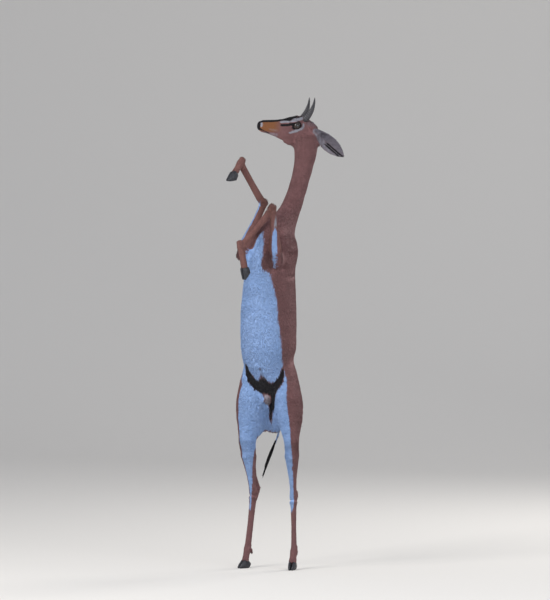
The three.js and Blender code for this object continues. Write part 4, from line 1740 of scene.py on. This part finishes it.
def unwrap_locks(mesh: bpy.types.Mesh, atlas: Atlas) -> None:
    """Gives each lock a small patch of the unwrap, at its root.

    Args:
        mesh: The locks.
        atlas: The unwrap of the skin.
    """
    roots = vectors_of(mesh, "root") / MM - SHIFT
    patch = vectors_of(mesh, "patch")
    number, _, _ = atlas.part(roots)
    flat = atlas.unwrap(roots, number, roots) + patch[:, :2] * PATCH
    corners = numbers_of(mesh.loops, "vertex_index", np.int32)
    layer = mesh.uv_layers.new(name=BAKE_MAP)
    layer.data.foreach_set("uv", flat[corners].astype(np.float32).ravel())
    for name in ("root", "patch", "density", "reach", "flow"):
        if name in mesh.attributes:
            mesh.attributes.remove(mesh.attributes[name])


@dataclass
class Coat:
    """The fur: short locks in several pieces over the whole skin.

    Attributes:
        skin: The skin that it grows on.
        atlas: The unwrap of the skin.
        tree: The tree that scatters the locks.
        quick_width: How much wider the locks would be in a quicker build; it is not used.
        pieces: The pieces of the coat.
    """

    skin: bpy.types.Object
    atlas: Atlas
    tree: FurTree
    quick_share: int = 3
    quick_width: float = 1.6
    pieces: tuple[Fur, ...] = (
        Fur("coat_belly", 19500, 3.2, 1.8, 0.11, 11, short_front),
        Fur("coat_back", 19500, 3.2, 1.8, 0.11, 12, short_back),
        Fur("coat_haunches", 19500, 2.9, 1.6, 0.12, 13, short_haunches),
        Fur("coat_legs", 17500, 1.9, 1.1, 0.16, 14, short_legs),
        Fur("coat_neck", 15500, 2.6, 1.6, 0.14, 15, short_neck),
        Fur("coat_head", 17500, 1.5, 0.9, 0.18, 16, short_head),
        Fur("ear_hair", 2600, 1.4, 1.6, 0.25, 17, ear_fringe),
    )

    def build(self, material: bpy.types.Material) -> list[bpy.types.Object]:
        """Grows every piece.

        Args:
            material: The coat's material.

        Returns:
            The pieces.
        """
        at = CoatPlaces(self.skin, self.atlas)
        lock = Lock("lock").build()
        made = [self._grow(fur, at, lock, material) for fur in self.pieces]
        bpy.data.objects.remove(lock)
        return made

    def _grow(
        self, fur: Fur, at: CoatPlaces, lock: bpy.types.Object, material: bpy.types.Material
    ) -> bpy.types.Object:
        """Grows one piece of the coat.

        Args:
            fur: The piece.
            at: The skin's vertices.
            lock: The lock that is scattered.
            material: The coat's material.

        Returns:
            The piece.
        """
        place, reach = fur.where(at)
        mesh = at.mesh.copy()
        attribute(mesh, "density", "FLOAT", place)
        attribute(mesh, "reach", "FLOAT", reach * MM)
        count = fur.count
        made = self.tree.grow(
            fur.name,
            mesh,
            {
                "Lock": lock,
                "Material": material,
                "Density": count / area_of(mesh, place),
                "Width": fur.width * MM * 1.0,
                "Lift": fur.lift * MM,
                "Stray": fur.stray,
                "Seed": fur.seed,
            },
        )
        unwrap_locks(made, self.atlas)
        piece = new_object(fur.name, made)
        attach(piece, "root")
        return piece


# Eyes, horns, hooves and tail.


@dataclass
class Eyes:
    """The two eyes, each a ball with a level pupil and a raised clear front."""

    bulge: float = 0.9
    detail: tuple[int, int] = (48, 32)

    def build(self, side: Side, material: bpy.types.Material) -> bpy.types.Object:
        """Makes one eye.

        Args:
            side: The animal's side.
            material: The eyes' material.

        Returns:
            The eye.
        """
        low, high = (np.array(c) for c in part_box(f"eye_{side.value}"))
        centre, radius = (low + high) / 2, float((high - low).mean() / 2)
        ball = bmesh.new()
        bmesh.ops.create_uvsphere(ball, u_segments=self.detail[0], v_segments=self.detail[1], radius=1.0)
        mesh = bpy.data.meshes.new(f"eyeball_{side.value}")
        ball.to_mesh(mesh)
        ball.free()
        axes = HEAD.axes()
        gaze = unit(axes[0] * 0.18 + axes[1] * side.way * 0.97 + axes[2] * 0.06)
        level = unit(axes[0] - gaze * (axes[0] @ gaze))
        upright = np.cross(gaze, level) * side.way
        points = vertices_of(mesh)
        facing = points @ gaze
        reach = radius + self.bulge * MM * rise(facing, 0.72, 0.95)
        attribute(mesh, "gaze", "FLOAT_VECTOR", np.stack([points @ level, points @ upright, facing], 1))
        set_vertices(mesh, points * reach[:, None] + centre)
        made = new_object(f"eyeball_{side.value}", mesh, material)
        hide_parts(f"eye_{side.value}")
        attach(made, "root")
        return made


@dataclass
class Horns:
    """The two short horns: ridged below, smooth and pointed above.

    Attributes:
        root: The middle of the left horn's base, in the head's frame.
        base: The radius of the base.
        length: The length before the curve.
        ridges: The number of ridges.
        ridge_height: How far they stand out.
        rings: The rings of the mesh.
        sides: Its sides.
    """

    root: Point = (33, 21, 38)
    base: float = 14
    length: float = 128
    ridges: int = 9
    ridge_height: float = 1.5
    rings: int = 150
    sides: int = 28

    def build(self, side: Side, material: bpy.types.Material) -> bpy.types.Object:
        """Makes one horn.

        Args:
            side: The animal's side.
            material: The horns' material.

        Returns:
            The horn.
        """
        t = np.linspace(0, 1, self.rings)
        sweep = self.length * t
        ahead, out, up = self.root
        path = np.stack(
            [
                ahead - sweep * 0.62 + 44 * t**2,
                side.way * (out + sweep * 0.2 - 8 * t**2),
                up + sweep * 0.62 + 22 * t**2,
            ],
            1,
        )
        wave = np.abs(np.sin(t * np.pi * self.ridges / 0.7)) ** 0.7
        ridge = wave * rise(t, 0.8, 0.55) * rise(t, 0.04, 0.1)
        radius = self.base * (1 - t) ** 0.72 + 0.9 + self.ridge_height * (ridge - 0.35 * (t < 0.8))
        radii = np.stack([radius * 0.86, radius], 1)
        points, faces = tube(HEAD.outside(path), radii, self.sides, np.tile(HEAD.axes()[1], (self.rings, 1)))
        mesh = mesh_from(f"ringed_horn_{side.value}", to_row(points), faces)
        attribute(mesh, "ridge", "FLOAT", np.repeat(ridge + 0.5 * rise(t, 0.8, 1.0), self.sides))
        shaped = bmesh.new()
        shaped.from_mesh(mesh)
        bmesh.ops.recalc_face_normals(shaped, faces=shaped.faces)
        shaped.to_mesh(mesh)
        shaped.free()
        made = new_object(f"ringed_horn_{side.value}", mesh, material)
        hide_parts(f"horn_{side.value}")
        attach(made, "root")
        return made


@dataclass
class Hooves:
    """The four feet's hooves, two claws each."""

    voxel: float = 1.3
    rounds: int = 10

    def build(self, end: str, side: Side, material: bpy.types.Material) -> bpy.types.Object:
        """Makes the two claws of one foot.

        Args:
            end: hind or fore.
            side: The animal's side.
            material: The hooves' material.

        Returns:
            The claws as one piece.
        """
        nodes = [f"{end}_claw_{side.value}_{number}" for number in (1, 2)]
        joined = bmesh.new()
        for node in nodes:
            mesh = remeshed(node, [node], self.voxel * MM)
            set_vertices(mesh, Smoother(mesh).run(vertices_of(mesh), self.rounds, 0.8, keep=True))
            joined.from_mesh(mesh)
        mesh = bpy.data.meshes.new(f"hoof_{end}_{side.value}")
        joined.to_mesh(mesh)
        joined.free()
        made = new_object(mesh.name, mesh, material)
        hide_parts(*nodes)
        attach(made, "root")
        return made


@dataclass
class TailTuft:
    """The black tuft: long locks round the end of the tail.

    Attributes:
        tree: The tree that scatters the locks.
        atlas: The unwrap of the skin.
        locks: About how many locks it has.
        reach: The longest lock, in millimetres.
        width: A lock's width.
        lift: How far a lock stands off the core.
        stray: How far a lock may turn from the flow, in radians.
        seed: The seed of everything random in it.
        rings: The rings of the core.
        sides: Its sides.
        bottom: Its lower end, in the millimetres of the joints.
    """

    tree: FurTree
    atlas: Atlas
    locks: int = 900
    reach: float = 60
    width: float = 2.1
    lift: float = 2.2
    stray: float = 0.05
    seed: int = 21
    rings: int = 24
    sides: int = 14
    bottom: Point = (-51, 92, 430)

    def build(self, material: bpy.types.Material) -> bpy.types.Object:
        """Grows the tuft on a slim core.

        Args:
            material: The coat's material.

        Returns:
            The tuft.
        """
        path = np.array([*POSE.tail[3:5], self.bottom], float)
        t = np.linspace(0, 1, self.rings)
        fine = np.stack([np.interp(t * 2, range(3), path[:, k]) for k in range(3)], 1)
        radius = 2.4 + 2.6 * np.sin(np.pi * np.clip(t + 0.12, 0, 1)) ** 0.8
        across = np.tile([1.0, 0.2, 0.0], (self.rings, 1))
        points, faces = tube(fine, np.stack([radius, radius], 1), self.sides, across)
        mesh = mesh_from("tuft_core", to_row(points), faces)
        steps = np.repeat(t, self.sides)
        flow = np.repeat(unit(np.gradient(fine, axis=0)), self.sides, 0)
        attribute(mesh, "flow", "FLOAT_VECTOR", flow)
        attribute(mesh, "density", "FLOAT", rise(steps, 0.08, 0.3) * rise(steps, 0.95, 0.85))
        attribute(mesh, "reach", "FLOAT", (self.reach * (0.45 + 0.55 * rise(steps, 0, 0.6))) * MM)
        attribute(mesh, "marks_a", "FLOAT_COLOR", np.tile([0.0, 1.0, 0.0, 1.0], (len(steps), 1)))
        attribute(mesh, "marks_b", "FLOAT_COLOR", np.tile([0.0, 0.0, 0.0, 1.0], (len(steps), 1)))
        lock = Lock("long_lock", bend=0.6, rings=5).build()
        core = mesh.copy()
        made = self.tree.grow(
            "tail_hair",
            mesh,
            {
                "Lock": lock,
                "Material": material,
                "Density": self.locks / area_of(mesh, np.ones(len(steps))),
                "Width": self.width * MM,
                "Lift": self.lift * MM,
                "Stray": self.stray,
                "Seed": self.seed,
            },
        )
        bpy.data.objects.remove(lock)
        unwrap_locks(made, self.atlas)
        piece = new_object("tail_hair", made)
        inner = new_object("tail_core", core, material)
        for part in (piece, inner):
            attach(part, "root")
        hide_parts("tail_tuft")
        return piece


@dataclass
class Studio:
    """The floor, the lights and the camera at the photo's angle.

    Attributes:
        azimuth: The camera's turn from straight ahead, in degrees.
        elevation: Its angle above the level, in degrees.
        middle: The middle of the picture, in the frame's millimetres.
        distance: How far away the camera stands, in metres.
        frame_height: The height of what the picture shows, in metres.
        aim: What the lights look at, in metres.
        floor_front: The floor's front edge, in metres.
        floor_half: Half its width.
        bend_start: Where it starts to curve up.
        bend: The radius of the curve.
        wall_height: The top of the backdrop.
    """

    azimuth: float = 23.0
    elevation: float = 3.0
    middle: Point = (-27.05, -22.2, 1135.6)
    distance: float = 25.0
    frame_height: float = 2.52
    aim: Point = (0.0, 0.0, 1.1)
    floor_front: float = -9.0
    floor_half: float = 14.0
    bend_start: float = 5.0
    bend: float = 3.0
    wall_height: float = 12.0

    def build(self) -> None:
        """Makes all of it."""
        self._floor()
        self._light("key", (-1.9, -4.2, 3.6), 2.4, 185.0, (1.0, 0.985, 0.96))
        self._light("fill", (3.6, -2.6, 1.9), 2.6, 62.0, (0.93, 0.96, 1.0))
        self._light("rim", (1.6, 3.4, 3.0), 1.8, 90.0, (1.0, 0.98, 0.95))
        world = bpy.data.worlds.new("studio")
        world.use_nodes = True
        sky = world.node_tree.nodes["Background"]
        sky.inputs["Color"].default_value = (0.90, 0.93, 1.0, 1.0)
        sky.inputs["Strength"].default_value = 0.55
        bpy.context.scene.world = world
        bpy.context.scene.view_settings.view_transform = "Standard"
        self._camera()

    def _floor(self) -> None:
        """A floor that curves up into a backdrop."""
        turn = np.linspace(0.1, np.pi / 2, 12)
        flat = np.linspace(self.floor_front, self.bend_start, 15)
        depth = [*flat, *(self.bend_start + self.bend * np.sin(turn)), self.bend_start + self.bend]
        height = [*np.zeros(len(flat)), *(self.bend - self.bend * np.cos(turn)), self.wall_height]
        points, faces = [], []
        for k, (y, z) in enumerate(zip(depth, height)):
            points.extend([(-self.floor_half, y, z), (self.floor_half, y, z)])
            if k:
                faces.append([2 * k - 2, 2 * k - 1, 2 * k + 1, 2 * k])
        floor = new_object("floor", mesh_from("floor", np.array(points), faces), FloorFinish().material())
        floor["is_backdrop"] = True

    def _light(self, name: str, place: Point, size: float, power: float, colour: Colour) -> None:
        """A square soft light that looks at the animal.

        Args:
            name: The light's name.
            place: Where it hangs, in metres.
            size: Its side, in metres.
            power: Its power, in watts.
            colour: Its colour.
        """
        data = bpy.data.lights.new(name, "AREA")
        data.size = size
        data.energy = power
        data.color = colour
        lamp = bpy.data.objects.new(name, data)
        lamp.location = place
        lamp.rotation_euler = (Vector(self.aim) - Vector(place)).to_track_quat("-Z", "Y").to_euler()
        bpy.context.scene.collection.objects.link(lamp)

    def _camera(self) -> None:
        """A long lens far away, as the photo's."""
        a, e = math.radians(self.azimuth), math.radians(self.elevation)
        back = Vector((math.sin(a) * math.cos(e), -math.cos(a) * math.cos(e), math.sin(e)))
        data = bpy.data.cameras.new("camera")
        data.sensor_width = 36.0
        data.lens = data.sensor_width * self.distance / self.frame_height
        data.clip_end = 100.0
        camera = bpy.data.objects.new("camera", data)
        camera.location = Vector(self.middle) * MM + back * self.distance
        camera.rotation_euler = (-back).to_track_quat("-Z", "Y").to_euler()
        bpy.context.scene.collection.objects.link(camera)
        bpy.context.scene.camera = camera


def corners() -> list[list[float]]:
    """The lowest and highest corner of what shows, as plain lists."""
    return [list(corner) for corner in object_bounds()]


def main() -> None:
    """Builds every piece in order."""
    logging.basicConfig(level=logging.INFO, format="%(name)s: %(message)s")
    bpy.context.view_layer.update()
    Studio().build()
    atlas = Atlas()
    skin = Skin(atlas, Markings(atlas)).build(CoatFinish().material("skin_hair", 0.8))
    LOG.info("%s: %d faces", skin.name, len(skin.data.polygons))
    tree = FurTree()
    hair = CoatFinish().material("coat_hair", 0.35)
    for piece in Coat(skin, atlas, tree).build(hair):
        LOG.info("%s: %d faces", piece.name, len(piece.data.polygons))
    LOG.info("%s", TailTuft(tree, atlas).build(hair).name)
    eye, horn, hoof = EyeFinish().material(), HornFinish().material(), HoofFinish().material()
    for side in Side:
        LOG.info("%s", Eyes().build(side, eye).name)
        LOG.info("%s", Horns().build(side, horn).name)
        for end in ("hind", "fore"):
            LOG.info("%s", Hooves().build(end, side, hoof).name)


if __name__ == "__main__":
    main()
